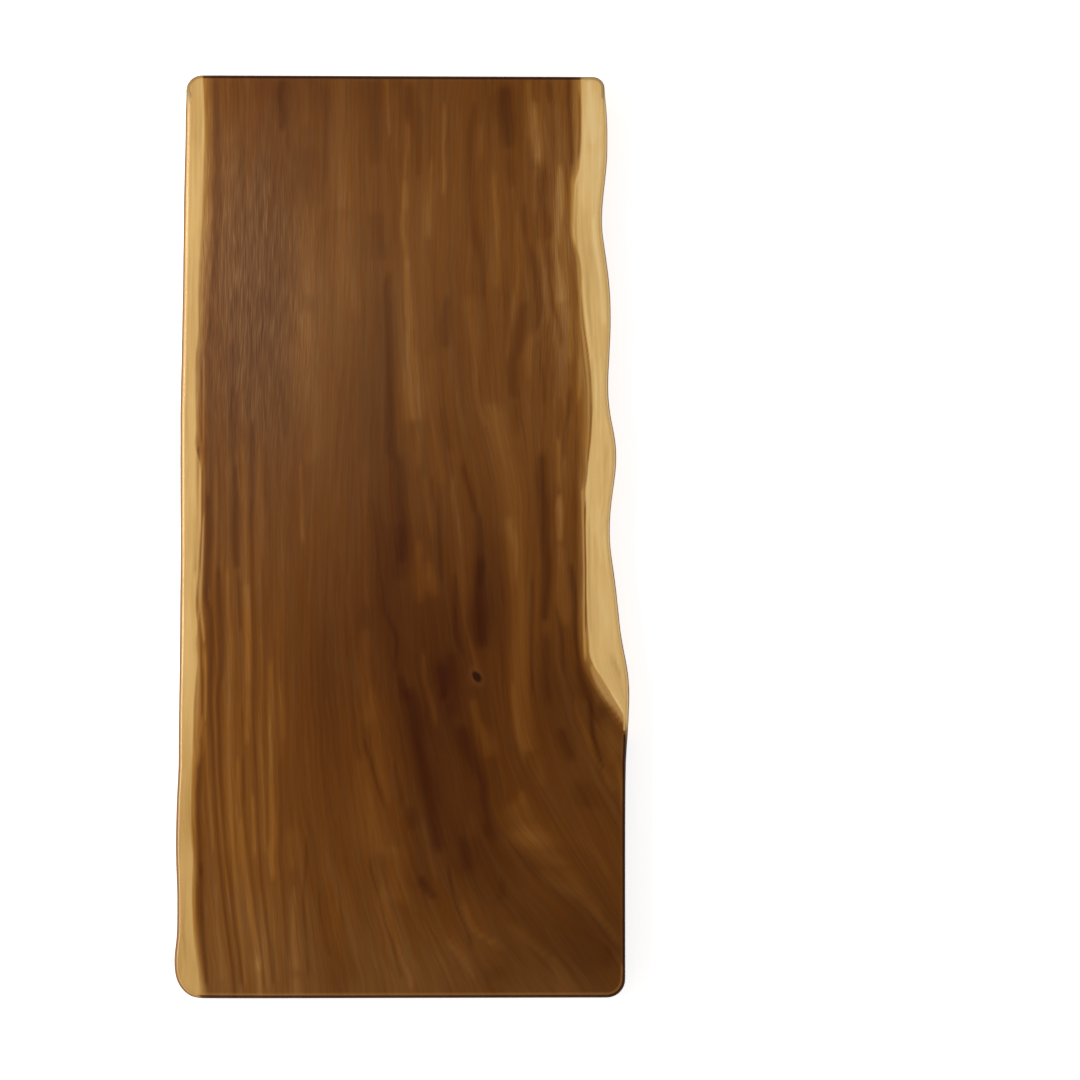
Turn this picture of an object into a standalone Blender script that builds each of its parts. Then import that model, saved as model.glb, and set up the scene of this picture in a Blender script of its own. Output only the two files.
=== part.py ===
"""A live-edge tabletop: one plank of suar wood, two metres long and a little under one metre wide.

The plank lies flat on its underside. Its frame has +Y along the plank, +X across it and +Z up,
and its origin is on the underside at the middle of the plank's box. All values are metres.

The left side and the upper right side keep the natural edge that was under the bark. The two ends
and the lower right side are sawn. The solid is a stack of closed rings, each one the plan outline
pushed inwards a little, bridged from the top face to the underside.
"""

import math

import bmesh
import bpy
from mathutils import Vector

LENGTH = 2.000
THICKNESS = 0.050
HALF_LENGTH = LENGTH / 2

# The sawn ends are not quite square to the plank: each is a straight line between two corners.
TOP_END_LEFT_Y = HALF_LENGTH
TOP_END_RIGHT_Y = 0.9965
BOTTOM_END_LEFT_Y = -HALF_LENGTH
BOTTOM_END_RIGHT_Y = -0.9980

# Corners that were rounded with a router, named as they lie in plan.
TOP_LEFT_RADIUS = 0.0345
TOP_RIGHT_RADIUS = 0.026
BOTTOM_RIGHT_RADIUS = 0.040

# Every sawn edge has a small hand-eased arris above and below.
ARRIS = 0.0035

# The natural edge rolls over from the top face and stands out furthest just below it.
LEFT_ROLL_TOP = 0.011
LEFT_ROLL_BOTTOM = 0.007
RIGHT_ROLL = 0.0065
ROLL_DEPTH = 0.012

# Below the roll it draws in towards the underside, by an amount that swells and fades along the
# plank. Shallow flutes run slantwise along it, as they do on a trunk under its bark.
UNDERCUT = 0.008
UNDERCUT_SWING = 0.003
UNDERCUT_WAVE = 1.15
UNDERCUT_SHORT_WAVE = 0.47
FLUTE_DEPTH = 0.0016
FLUTE_WAVE = 0.30
FLUTE_SLANT = 1.4
LIVE_LOWER_ARRIS = 0.005

# Where the rings of the section lie: round the roll, down the side and round the lower arris.
ROLL_DEGREES = (0, 22.5, 45, 67.5, 90)
SIDE_SHARES = (0.25, 0.5, 0.75)
LOWER_DEGREES = (0, 30, 60, 90)

# Spacing of points along the edges, and how many go round a routed corner.
LIVE_STEP = 0.0145
SAWN_STEP = 0.080
CORNER_POINTS = 8

# Right side from the lower sawn corner upwards: straight where it was sawn, natural above.
RIGHT_SAWN = [(0.4845, -0.938), (0.4845, -0.620), (0.4860, -0.490), (0.4895, -0.428)]
RIGHT_LIVE = [
    (0.4895, -0.428),
    (0.4910, -0.370),
    (0.4925, -0.336),
    (0.4900, -0.299),
    (0.4815, -0.255),
    (0.4735, -0.212),
    (0.4635, -0.115),
    (0.4530, -0.039),
    (0.4490, 0.020),
    (0.4540, 0.080),
    (0.4625, 0.140),
    (0.4645, 0.177),
    (0.4620, 0.210),
    (0.4550, 0.242),
    (0.4480, 0.279),
    (0.4455, 0.333),
    (0.4495, 0.404),
    (0.4520, 0.470),
    (0.4495, 0.535),
    (0.4430, 0.595),
    (0.4340, 0.653),
    (0.4320, 0.697),
    (0.4370, 0.751),
    (0.4435, 0.805),
    (0.4450, 0.855),
    (0.4440, 0.903),
    (0.4400, 0.9635),
]

# Left side from the upper corner downwards. It ends in a low swelling with a nick above it,
# left natural round the lower left corner as far as the sawn end.
LEFT_LIVE = [
    (-0.4670, 0.9635),
    (-0.4680, 0.860),
    (-0.4705, 0.730),
    (-0.4725, 0.600),
    (-0.4745, 0.470),
    (-0.4770, 0.340),
    (-0.4785, 0.275),
    (-0.4785, 0.145),
    (-0.4780, -0.050),
    (-0.4795, -0.245),
    (-0.4820, -0.400),
    (-0.4825, -0.505),
    (-0.4865, -0.570),
    (-0.4885, -0.667),
    (-0.4880, -0.705),
    (-0.4860, -0.745),
    (-0.4855, -0.800),
    (-0.4858, -0.878),
]
LEFT_SWELLING = [
    (-0.4858, -0.878),
    (-0.4895, -0.886),
    (-0.4915, -0.8965),
    (-0.4925, -0.912),
    (-0.4922, -0.931),
    (-0.4905, -0.9465),
    (-0.4860, -0.964),
    (-0.4780, -0.977),
    (-0.4690, -0.988),
    (-0.4580, -0.996),
    (-0.4480, -0.9983),
    (-0.4340, BOTTOM_END_LEFT_Y),
]

HEARTWOOD = (0.155, 0.064, 0.022, 1.0)
SATIN_ROUGHNESS = 0.42


def clear_scene():
    for old in list(bpy.data.objects):
        bpy.data.objects.remove(old, do_unlink=True)


def distance(a, b):
    return math.hypot(b[0] - a[0], b[1] - a[1])


def straight(start, end, step):
    """Points from start up to end, leaving the end itself to the next stretch."""
    count = max(1, round(distance(start, end) / step))
    return [
        (start[0] + (end[0] - start[0]) * i / count, start[1] + (end[1] - start[1]) * i / count)
        for i in range(count)
    ]


def through(stations, step):
    """Points along a smooth curve through the stations, leaving out the last one."""
    before_first = stations[0]
    after_last = stations[-1]
    padded = [before_first] + list(stations) + [after_last]
    points = []
    for p0, p1, p2, p3 in zip(padded, padded[1:], padded[2:], padded[3:]):
        count = max(1, round(distance(p1, p2) / step))
        for i in range(count):
            t = i / count
            points.append(
                tuple(
                    p1[k]
                    + 0.5 * t * (p2[k] - p0[k])
                    + t * t * (p0[k] - 2.5 * p1[k] + 2 * p2[k] - 0.5 * p3[k])
                    + t * t * t * (1.5 * (p1[k] - p2[k]) + 0.5 * (p3[k] - p0[k]))
                    for k in range(2)
                )
            )
    return points


def corner_arc(centre, radius, first_degrees, last_degrees):
    """Points counter-clockwise round a routed corner, both ends of the arc included."""
    span = last_degrees - first_degrees
    angles = [math.radians(first_degrees + span * i / CORNER_POINTS) for i in range(CORNER_POINTS + 1)]
    return [(centre[0] + radius * math.cos(a), centre[1] + radius * math.sin(a)) for a in angles]


def left_roll(y):
    """The left edge's roll is broad near the top end and narrows towards the other."""
    share = min(1.0, max(0.0, 0.5 - y / 0.8))
    return LEFT_ROLL_TOP + (LEFT_ROLL_BOTTOM - LEFT_ROLL_TOP) * share


def plan_outline():
    """The widest outline, counter-clockwise, as (x, y, how natural the edge is, width of its roll)."""
    sawn_x = RIGHT_SAWN[0][0]
    low_corner = (sawn_x - BOTTOM_RIGHT_RADIUS, BOTTOM_END_RIGHT_Y + BOTTOM_RIGHT_RADIUS)
    right_x = RIGHT_LIVE[-1][0]
    top_right = (right_x - TOP_RIGHT_RADIUS, TOP_END_RIGHT_Y - TOP_RIGHT_RADIUS)
    left_x = LEFT_LIVE[0][0]
    top_left = (left_x + TOP_LEFT_RADIUS, TOP_END_LEFT_Y - TOP_LEFT_RADIUS)

    end_low = straight(LEFT_SWELLING[-1], (low_corner[0], BOTTOM_END_RIGHT_Y), SAWN_STEP)
    arc_low = corner_arc(low_corner, BOTTOM_RIGHT_RADIUS, -90, 0)
    sawn_side = through(RIGHT_SAWN, SAWN_STEP)
    live_right = through(RIGHT_LIVE, LIVE_STEP)
    arc_right = corner_arc(top_right, TOP_RIGHT_RADIUS, 0, 90)
    end_top = straight(arc_right[-1], (top_left[0], TOP_END_LEFT_Y), SAWN_STEP)[1:]
    arc_left = corner_arc(top_left, TOP_LEFT_RADIUS, 90, 180)
    live_left = through(LEFT_LIVE, LIVE_STEP)
    swelling = through(LEFT_SWELLING, LIVE_STEP)

    outline = [(x, y, 0.0, ARRIS) for x, y in end_low + arc_low + sawn_side]
    outline += [(x, y, 1.0, RIGHT_ROLL) for x, y in live_right]
    outline += [(x, y, 0.0, ARRIS) for x, y in arc_right + end_top + arc_left]
    outline += [(x, y, 1.0, left_roll(y)) for x, y in live_left + swelling]
    return outline


def blended(outline, rounds=3):
    """Lets the natural edge and the sawn edge run into each other instead of changing at a step."""
    values = [(live, roll) for _, _, live, roll in outline]
    count = len(values)
    for _ in range(rounds):
        values = [
            tuple(
                0.25 * values[i - 1][k] + 0.5 * values[i][k] + 0.25 * values[(i + 1) % count][k]
                for k in range(2)
            )
            for i in range(count)
        ]
    return [(x, y, live, roll) for (x, y, _, _), (live, roll) in zip(outline, values)]


def inward_normals(outline):
    normals = []
    count = len(outline)
    for i in range(count):
        x0, y0 = outline[i - 1][:2]
        x1, y1 = outline[(i + 1) % count][:2]
        along = Vector((x1 - x0, y1 - y0)).normalized()
        normals.append(Vector((-along.y, along.x)))
    return normals


def wave(place, length, phase=0.0):
    return math.sin(2 * math.pi * place / length + phase)


def section(x, y, live, roll):
    """The edge's section as (inset from the widest outline, height), from the top face downwards."""
    swell = wave(y, UNDERCUT_WAVE, 2.0 * x) + 0.6 * wave(y, UNDERCUT_SHORT_WAVE, 1.0)
    undercut = live * (UNDERCUT + UNDERCUT_SWING * swell)
    roll_depth = ARRIS + live * (ROLL_DEPTH - ARRIS)
    lower_arris = ARRIS + live * (LIVE_LOWER_ARRIS - ARRIS)
    side_top = THICKNESS - roll_depth

    rings = []
    for degrees in ROLL_DEGREES:
        turn = math.radians(degrees)
        rings.append((roll * (1 - math.sin(turn)), THICKNESS - roll_depth * (1 - math.cos(turn))))
    for share in SIDE_SHARES:
        flute = live * FLUTE_DEPTH * (1 + wave(y, FLUTE_WAVE, 2 * math.pi * FLUTE_SLANT * share))
        rings.append((undercut * share**1.5 + flute, side_top + (lower_arris - side_top) * share))
    for degrees in LOWER_DEGREES:
        turn = math.radians(degrees)
        inset = undercut + lower_arris * (1 - math.cos(turn))
        rings.append((inset, lower_arris * (1 - math.sin(turn))))
    return rings


def slab_mesh():
    outline = blended(plan_outline())
    normals = inward_normals(outline)
    sections = [section(*point) for point in outline]
    mesh = bmesh.new()
    rings = []
    for level in range(len(sections[0])):
        ring = []
        for (x, y, _, _), inward, insets in zip(outline, normals, sections):
            inset, height = insets[level]
            ring.append(mesh.verts.new((x + inward.x * inset, y + inward.y * inset, height)))
        rings.append(ring)

    count = len(outline)
    for upper, lower in zip(rings, rings[1:]):
        for i in range(count):
            j = (i + 1) % count
            mesh.faces.new((upper[i], lower[i], lower[j], upper[j]))
    mesh.faces.new(rings[0])
    mesh.faces.new(list(reversed(rings[-1])))
    bmesh.ops.triangulate(mesh, faces=mesh.faces[:])
    bmesh.ops.recalc_face_normals(mesh, faces=mesh.faces[:])
    data = bpy.data.meshes.new("slab")
    mesh.to_mesh(data)
    mesh.free()
    return data


def oiled_suar():
    material = bpy.data.materials.new("oiled_suar")
    material.use_nodes = True
    shader = material.node_tree.nodes["Principled BSDF"]
    shader.inputs["Base Color"].default_value = HEARTWOOD
    shader.inputs["Roughness"].default_value = SATIN_ROUGHNESS
    shader.inputs["Metallic"].default_value = 0.0
    return material


def main():
    clear_scene()
    slab = bpy.data.objects.new("slab", slab_mesh())
    slab.data.materials.append(oiled_suar())
    slab.data.shade_smooth()
    slab.data.set_sharp_from_angle(angle=math.radians(35))
    bpy.context.scene.collection.objects.link(slab)


main()
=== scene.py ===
# %% [markdown]
# # A live-edge tabletop of suar wood
#
# This is one plank, two metres long, sawn from the whole width of a suar trunk (rain tree). The
# left side and the upper right side still have the shape that the trunk had under its bark. The
# ends and the lower right side were sawn, and the three sawn corners were rounded with a router.
# Sanding and oil then brought out what makes the piece: brown heartwood whose streaks bend like
# water round a stone, between two bands of pale sapwood.
#
# The lesson builds the plank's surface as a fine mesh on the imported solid, works out for every
# point of it where that wood sat in the tree, and lets one material grow from that.

import math

import bpy
import numpy as np
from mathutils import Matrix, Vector, kdtree, noise
from mathutils.bvhtree import BVHTree


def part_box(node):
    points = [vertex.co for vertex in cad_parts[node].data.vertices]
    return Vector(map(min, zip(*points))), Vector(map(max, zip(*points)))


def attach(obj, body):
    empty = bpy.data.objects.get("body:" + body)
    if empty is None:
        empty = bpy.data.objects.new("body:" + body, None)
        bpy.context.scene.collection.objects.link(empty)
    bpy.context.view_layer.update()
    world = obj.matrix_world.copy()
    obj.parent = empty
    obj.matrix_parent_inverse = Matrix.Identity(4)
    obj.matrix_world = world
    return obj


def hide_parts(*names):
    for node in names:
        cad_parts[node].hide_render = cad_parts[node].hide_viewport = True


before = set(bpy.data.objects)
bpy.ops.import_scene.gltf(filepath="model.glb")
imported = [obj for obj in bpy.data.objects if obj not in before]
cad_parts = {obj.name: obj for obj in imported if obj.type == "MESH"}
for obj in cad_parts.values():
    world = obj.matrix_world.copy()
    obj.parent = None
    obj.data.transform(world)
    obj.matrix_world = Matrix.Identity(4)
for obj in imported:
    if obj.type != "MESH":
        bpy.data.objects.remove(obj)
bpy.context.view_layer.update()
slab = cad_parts["slab"]
low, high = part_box("slab")
thickness = high.z - low.z
millimetres = [round(1000 * (b - a), 1) for a, b in zip(low, high)]
print("packed plank in mm:", millimetres)

# %% [markdown]
# ## The picture
#
# The plank is seen from straight above, standing left of the middle of a square picture. A long
# lens from high up keeps its two sides parallel, as a repro photographer would. The height of the
# camera follows from three real values: how much the picture takes in at the level of the plank's
# top, the lens and the sensor.

# %% Hang the camera above the table
# What the picture takes in and where its middle is, in metres.
PICTURE_WIDTH = 2.3386
PICTURE_CENTRE = (0.2997, -0.0067)
LENS_MM = 150.0
SENSOR_MM = 36.0

camera_height = high.z + PICTURE_WIDTH * LENS_MM / SENSOR_MM
camera = bpy.data.objects.new("camera", bpy.data.cameras.new("camera"))
camera.data.lens = LENS_MM
camera.data.sensor_width = SENSOR_MM
camera.data.clip_end = 100.0
camera.location = (*PICTURE_CENTRE, camera_height)
bpy.context.scene.collection.objects.link(camera)
bpy.context.scene.camera = camera
bpy.context.scene.view_settings.view_transform = "Standard"
print("camera hangs", round(camera_height, 2), "m up")

# %% [markdown]
# ## One small helper for nodes
#
# A material is a graph of nodes. Blender adds and links them in many small steps, so here one call
# adds a node, gives it its settings by name, and fills its sockets in their order or by name. Each
# socket takes a plain value, one output of another node, or a whole node, which stands for its
# first output. Colours are written as screen colours, because those can be read off a picture, and
# turned into the linear light that the renderer works in.


# %% Make the helpers for nodes and colours
def fill(node, sockets):
    """Fills sockets, listed in order or by name, with values or with other nodes' outputs."""
    for place, value in sockets.items() if isinstance(sockets, dict) else enumerate(sockets):
        if isinstance(value, bpy.types.Node):
            value = next(output for output in value.outputs if output.enabled)
        if isinstance(value, bpy.types.NodeSocket):
            node.id_data.links.new(value, node.inputs[place])
        else:
            node.inputs[place].default_value = value


def add(tree, kind, sockets=(), **settings):
    """Adds one shader node with its settings, and fills its sockets."""
    made = tree.nodes.new("ShaderNode" + kind)
    for name, value in settings.items():
        setattr(made, name, value)
    fill(made, sockets)
    return made


def linear(screen_hex):
    """A linear RGBA colour from a screen colour such as '#71451f'."""
    channels = [int(screen_hex[i : i + 2], 16) / 255 for i in (1, 3, 5)]
    light = [c / 12.92 if c <= 0.04045 else ((c + 0.055) / 1.055) ** 2.4 for c in channels]
    return (*light, 1.0)


def set_stops(ramp, stops):
    """Gives a colour ramp its stops, each a place from 0 to 1 and a screen colour."""
    elements = ramp.color_ramp.elements
    while len(elements) < len(stops):
        elements.new(0.5)
    for element, (place, colour) in zip(elements, stops):
        element.position = place
        element.color = linear(colour)


SMOOTH = {"interpolation_type": "SMOOTHSTEP"}
COLOURS = {"data_type": "RGBA"}

# %% [markdown]
# ## A white table and a light tent
#
# Flat wood is photographed in a light tent: white cloth all round, and a dark hole above where
# the camera looks in. The cloth lights the colours evenly. The dark hole matters more than it
# seems, because a flat oiled face mirrors whatever is straight above it, and a white ceiling
# would lay a milky veil over the dark wood. The table is white acrylic with a little light of
# its own, so that it stays white right up to the plank.

# %% Put up the table
TABLE_SIZE = 16.0
TABLE_GLOW = 0.75
# A hair below the plank's underside, because two faces in one plane would show as stripes.
TABLE_TOP = -0.0002

table_mesh = bpy.data.meshes.new("table")
half = TABLE_SIZE / 2
corners = [(x, y, TABLE_TOP) for x, y in ((-half, -half), (half, -half), (half, half), (-half, half))]
table_mesh.from_pydata(corners, [], [(0, 1, 2, 3)])
table = bpy.data.objects.new("table", table_mesh)
bpy.context.scene.collection.objects.link(table)

acrylic = bpy.data.materials.new("white acrylic")
acrylic.use_nodes = True
acrylic_look = {
    "Base Color": linear("#f4f4f2"),
    "Roughness": 0.6,
    "Specular IOR Level": 0.2,
    "Emission Color": linear("#ffffff"),
    "Emission Strength": TABLE_GLOW,
}
fill(acrylic.node_tree.nodes["Principled BSDF"], acrylic_look)
table_mesh.materials.append(acrylic)
print("table:", TABLE_SIZE, "m wide")

# %% Hang the tent and its lamps
TENT_CLOTH = 1.05
TENT_HOLE = 0.0
# How high the cloth reaches and where the hole begins, from 0 at the horizon to 1 overhead.
CLOTH_TOP = 0.34
HOLE_EDGE = 0.78

world = bpy.data.worlds.new("light tent")
world.use_nodes = True
bpy.context.scene.world = world
tent = world.node_tree
sky_place = add(tent, "TexCoord").outputs["Generated"]
sky_height = add(tent, "SeparateXYZ", [sky_place]).outputs["Z"]
cloth = add(tent, "MapRange", [sky_height, CLOTH_TOP, HOLE_EDGE, TENT_CLOTH, TENT_HOLE], **SMOOTH)
fill(tent.nodes["Background"], {"Strength": cloth, "Color": linear("#fffdfa")})


def hang_lamp(name, place, size, watts, aim=(0.0, 0.0, 0.0)):
    """A soft rectangular lamp that faces a point of the plank."""
    lamp = bpy.data.lights.new(name, "AREA")
    lamp.shape = "RECTANGLE"
    lamp.size, lamp.size_y = size
    lamp.energy = watts
    hung = bpy.data.objects.new(name, lamp)
    hung.location = place
    hung.rotation_euler = (Vector(aim) - Vector(place)).to_track_quat("-Z", "Y").to_euler()
    bpy.context.scene.collection.objects.link(hung)
    print(name, "gives", watts, "W")


hang_lamp("left lamp", place=(-4.0, 0.5, 2.9), size=(4.0, 1.2), watts=185.0)
hang_lamp("upper left lamp", place=(-0.7, 0.7, 3.0), size=(0.9, 1.0), watts=3.2, aim=(-0.3, 0.3, 0.0))

# %% [markdown]
# ## The plank's edge, read from the solid
#
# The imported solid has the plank's true outline and the section of its edge, in flat facets. A
# finer skin goes over it. Rays go out from inside the solid, and where they leave it is a point
# of the skin. Along the two long sides the rays run square to the plank, along the ends they run
# lengthwise, and at each corner they fan out like the ribs of an umbrella.

# %% Lay out the rays
SIDE_ROWS = 156
END_COLUMNS = 420
FAN_RIBS = 6
# How far inside each corner its rays start.
FAN_REACH = {"low left": 0.060, "low right": 0.045, "top right": 0.045, "top left": 0.045}
# Where the long sides are at three of the corners. The fourth is as far left as the plank goes.
SAWN_RIGHT = 0.4845
TOP_RIGHT = 0.4400
TOP_LEFT = -0.4670

left = low.x
bottom, top = low.y, high.y


def corner_centre(name, corner_x, corner_y):
    """The point inside a corner from which its fan of rays starts."""
    reach = FAN_REACH[name]
    inside_x = corner_x - math.copysign(reach, corner_x)
    inside_y = corner_y - math.copysign(reach, corner_y)
    return Vector((inside_x, inside_y, 0))


low_left = corner_centre("low left", left, bottom)
low_right = corner_centre("low right", SAWN_RIGHT, bottom)
top_right = corner_centre("top right", TOP_RIGHT, top)
top_left = corner_centre("top left", TOP_LEFT, top)


def fan(centre, first_degrees, last_degrees):
    """Rays from one point, turning from one direction to the other, both included."""
    step = (last_degrees - first_degrees) / FAN_RIBS
    turns = [math.radians(first_degrees + step * i) for i in range(FAN_RIBS + 1)]
    return [(centre, Vector((math.cos(turn), math.sin(turn), 0))) for turn in turns]


def side(first_corner, last_corner, count, degrees):
    """The rays of one side, counter-clockwise from the middle of one corner to that of the next."""
    half_turn = 45
    before = fan(first_corner, degrees - half_turn, degrees)
    straight_out = before[-1][1]
    along = [(first_corner.lerp(last_corner, i / count), straight_out) for i in range(1, count)]
    after = fan(last_corner, degrees, degrees + half_turn)
    return before + along + after[:-1]


end_low = side(low_left, low_right, END_COLUMNS, 270)
side_right = side(low_right, top_right, SIDE_ROWS, 0)
end_top = side(top_right, top_left, END_COLUMNS, 90)
side_left = side(top_left, low_left, SIDE_ROWS, 180)
rays = end_low + side_right + end_top + side_left
columns = len(end_low)
rows = len(side_right)
print("rays:", len(rays), "as", columns, "columns and", rows, "rows")

# %% Read the rings of the skin
RING_DEPTHS_MM = (0.0, 0.35, 1.1, 2.2, 3.8, 6.0, 8.8, 12.5, 20.0, 30.0, 40.0, 46.6, 48.8, 50.0)
# Rays at the very top and bottom start this far inside, so that they can't miss the solid.
SKIN = 0.00004

solid = BVHTree.FromObject(slab, bpy.context.evaluated_depsgraph_get())


def leaves_solid(ray, height):
    """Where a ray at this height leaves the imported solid."""
    start, direction = ray
    inside = min(max(height, low.z + SKIN), high.z - SKIN)
    hit = solid.ray_cast(Vector((start.x, start.y, inside)), direction)[0]
    return (hit.x, hit.y, height)


ring_heights = [high.z - depth / 1000 for depth in RING_DEPTHS_MM]
rings = np.array([[leaves_solid(ray, height) for ray in rays] for height in ring_heights])
print("skin rings:", rings.shape)

# %% [markdown]
# ## Where the edge is natural
#
# Under the bark a trunk is never straight: it has long shallow flutes, and here and there a small
# swelling. The solid has the large ones. The skin first rounds off the solid's facets, which makes
# it shrink by a hair. So it is let out again by a millimetre and a half, and fine flutes of half a
# millimetre are added to that. Painted on, they would vanish where light rakes along the edge.

# %% Smooth and flute the natural edge
# In metres: the right side is sawn below the first of these, the low left corner is sawn from the
# second one on, and whatever lies past the third is on the right side.
RIGHT_SAWN_BELOW = -0.428
LOW_CORNER_SAWN_FROM = -0.445
RIGHT_HALF = 0.4
BLENDING_ROUNDS = 4
SMOOTHING_ROUNDS = 6
FLUTE_MM = 0.55
SWELL_MM = 1.6
# How far a flute reaches across the trunk, along it and down the edge, in metres.
FLUTE_SIZES = (0.020, 0.180, 0.016)
# How rough the flutes are, how much finer each layer of them is, and how many layers there are.
FLUTE_LAYERS = (0.6, 2.2, 3)
# Flutes and swelling fade out over this much of the edge towards the top and the underside.
FADE_MM = 8.0

WIDEST_DEPTH = 12.5
widest = rings[RING_DEPTHS_MM.index(WIDEST_DEPTH)]
is_left = np.arange(len(rays)) >= columns * 2 + rows
near_low_left = (widest[:, 1] < low_left.y) & (widest[:, 0] < LOW_CORNER_SAWN_FROM)
on_left = is_left & (widest[:, 1] < top_left.y)
on_right = (widest[:, 0] > RIGHT_HALF) & (widest[:, 1] > RIGHT_SAWN_BELOW) & (widest[:, 1] < top_right.y)
natural = (on_left | near_low_left | on_right).astype(float)
for _ in range(BLENDING_ROUNDS):
    natural = 0.25 * np.roll(natural, 1) + 0.5 * natural + 0.25 * np.roll(natural, -1)

for _ in range(SMOOTHING_ROUNDS):
    neighbours = (np.roll(rings, 1, axis=1) + np.roll(rings, -1, axis=1)) / 2
    rings = rings + (neighbours - rings) * 0.5 * natural[None, :, None]


def flute(point):
    """How far the natural edge swells out at this point, in metres, drawn out along the trunk."""
    place = Vector([p / size for p, size in zip(point, FLUTE_SIZES)])
    return (noise.fractal(place, *FLUTE_LAYERS) * FLUTE_MM + SWELL_MM) / 1000


outward = np.array([ray[1][:] for ray in rays])
for ring, depth in zip(rings, RING_DEPTHS_MM):
    strength = min(depth, RING_DEPTHS_MM[-1] - depth, FADE_MM) / FADE_MM
    for i in np.nonzero(natural > 0.05)[0]:
        push = flute(ring[i]) * strength * natural[i]
        ring[i, :2] += outward[i, :2] * push
print("natural edge at", round(100 * float(natural.mean())), "% of the rays")

# %% [markdown]
# ## The two faces
#
# The top is filled in between its four sides, as a sailmaker lofts a sail from its edges: each
# point is a blend of the points straight across and straight along from it. The top gets a fine
# grid, because the figure of the wood is stored in its points. The underside is never seen close,
# so its grid has a quarter of the lines. Between the two faces each ring of the skin is joined to
# the next by a strip of four-sided faces.


# %% Loft a grid inside an outline
def lofted(outline, across_count, along_count):
    """A grid of points inside a closed outline that starts at its low left corner."""
    south = outline[: across_count + 1]
    east = outline[across_count : across_count + along_count + 1]
    north = outline[across_count + along_count : 2 * across_count + along_count + 1][::-1]
    west = np.vstack([outline[2 * across_count + along_count :], outline[:1]])[::-1]
    u = np.linspace(0, 1, across_count + 1)[None, :, None]
    v = np.linspace(0, 1, along_count + 1)[:, None, None]
    sides = (1 - u) * west[:, None] + u * east[:, None]
    ends = (1 - v) * south[None] + v * north[None]
    low_corners = (1 - u) * (1 - v) * south[0] + u * (1 - v) * south[-1]
    return sides + ends - low_corners - (1 - u) * v * north[0] - u * v * north[-1]


def outline_numbers(across_count, along_count):
    """The grid's own numbering of its rim, in the same order as the outline."""
    grid = np.arange((across_count + 1) * (along_count + 1)).reshape(along_count + 1, across_count + 1)
    return np.concatenate([grid[0, :-1], grid[:-1, -1], grid[-1, :0:-1], grid[:0:-1, 0]]), grid


# %% Number the points and faces of the skin
COARSER = 4
UNDERSIDE_INSET = 0.010

points = []
faces = []


def take(new_points):
    """Adds points to the skin and gives the number of the first one."""
    first = len(points)
    points.extend(map(tuple, new_points))
    return first


def grid_faces(grid, flip=False):
    """The four point numbers of each square of a grid, turned over if it faces down."""
    square_corners = [grid[:-1, :-1], grid[:-1, 1:], grid[1:, 1:], grid[1:, :-1]]
    squares = np.stack(square_corners, axis=-1).reshape(-1, 4)
    return (squares[:, ::-1] if flip else squares).tolist()


top_rim, top_grid = outline_numbers(columns, rows)
take(lofted(rings[0], columns, rows).reshape(-1, 3))
faces += grid_faces(top_grid)

upper = top_rim
for ring in rings[1:]:
    lower = take(ring) + np.arange(len(ring))
    strip = np.stack([upper, lower, np.roll(lower, -1), np.roll(upper, -1)], axis=-1)
    faces += strip.tolist()
    upper = lower

coarse_outline = rings[-1][::COARSER].copy()
coarse_outline[:, :2] -= outward[::COARSER, :2] * UNDERSIDE_INSET
under_rim, under_grid = outline_numbers(columns // COARSER, rows // COARSER)
under_first = take(lofted(coarse_outline, columns // COARSER, rows // COARSER).reshape(-1, 3))
faces += grid_faces(under_grid + under_first, flip=True)
under_rim = under_rim + under_first
for i, inner in enumerate(under_rim):
    outer = [upper[(COARSER * i + k) % len(upper)] for k in range(COARSER + 1)]
    faces.append([int(n) for n in outer[::-1]] + [int(inner), int(under_rim[(i + 1) % len(under_rim)])])
print("skin:", len(points), "points,", len(faces), "faces")

# %% Make the plank's mesh
plank_mesh = bpy.data.meshes.new("suar_plank")
plank_mesh.from_pydata(points, [], faces)
plank_mesh.validate()
plank_mesh.shade_smooth()
plank = bpy.data.objects.new("suar_plank", plank_mesh)
bpy.context.scene.collection.objects.link(plank)
triangles = sum(len(face) - 2 for face in faces)
print("plank mesh:", triangles, "triangles")

# %% [markdown]
# ## Where each point sat in the tree
#
# The growth rings run along the trunk, and where they meet the face they draw the figure. Boat
# builders describe such curves with a table of offsets: at a few stations along the keel, how far
# out each line lies. The same table serves here. Each line of figure has its name, its place at
# the top end of the plank, and its place across the plank at each station, all in millimetres.

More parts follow.
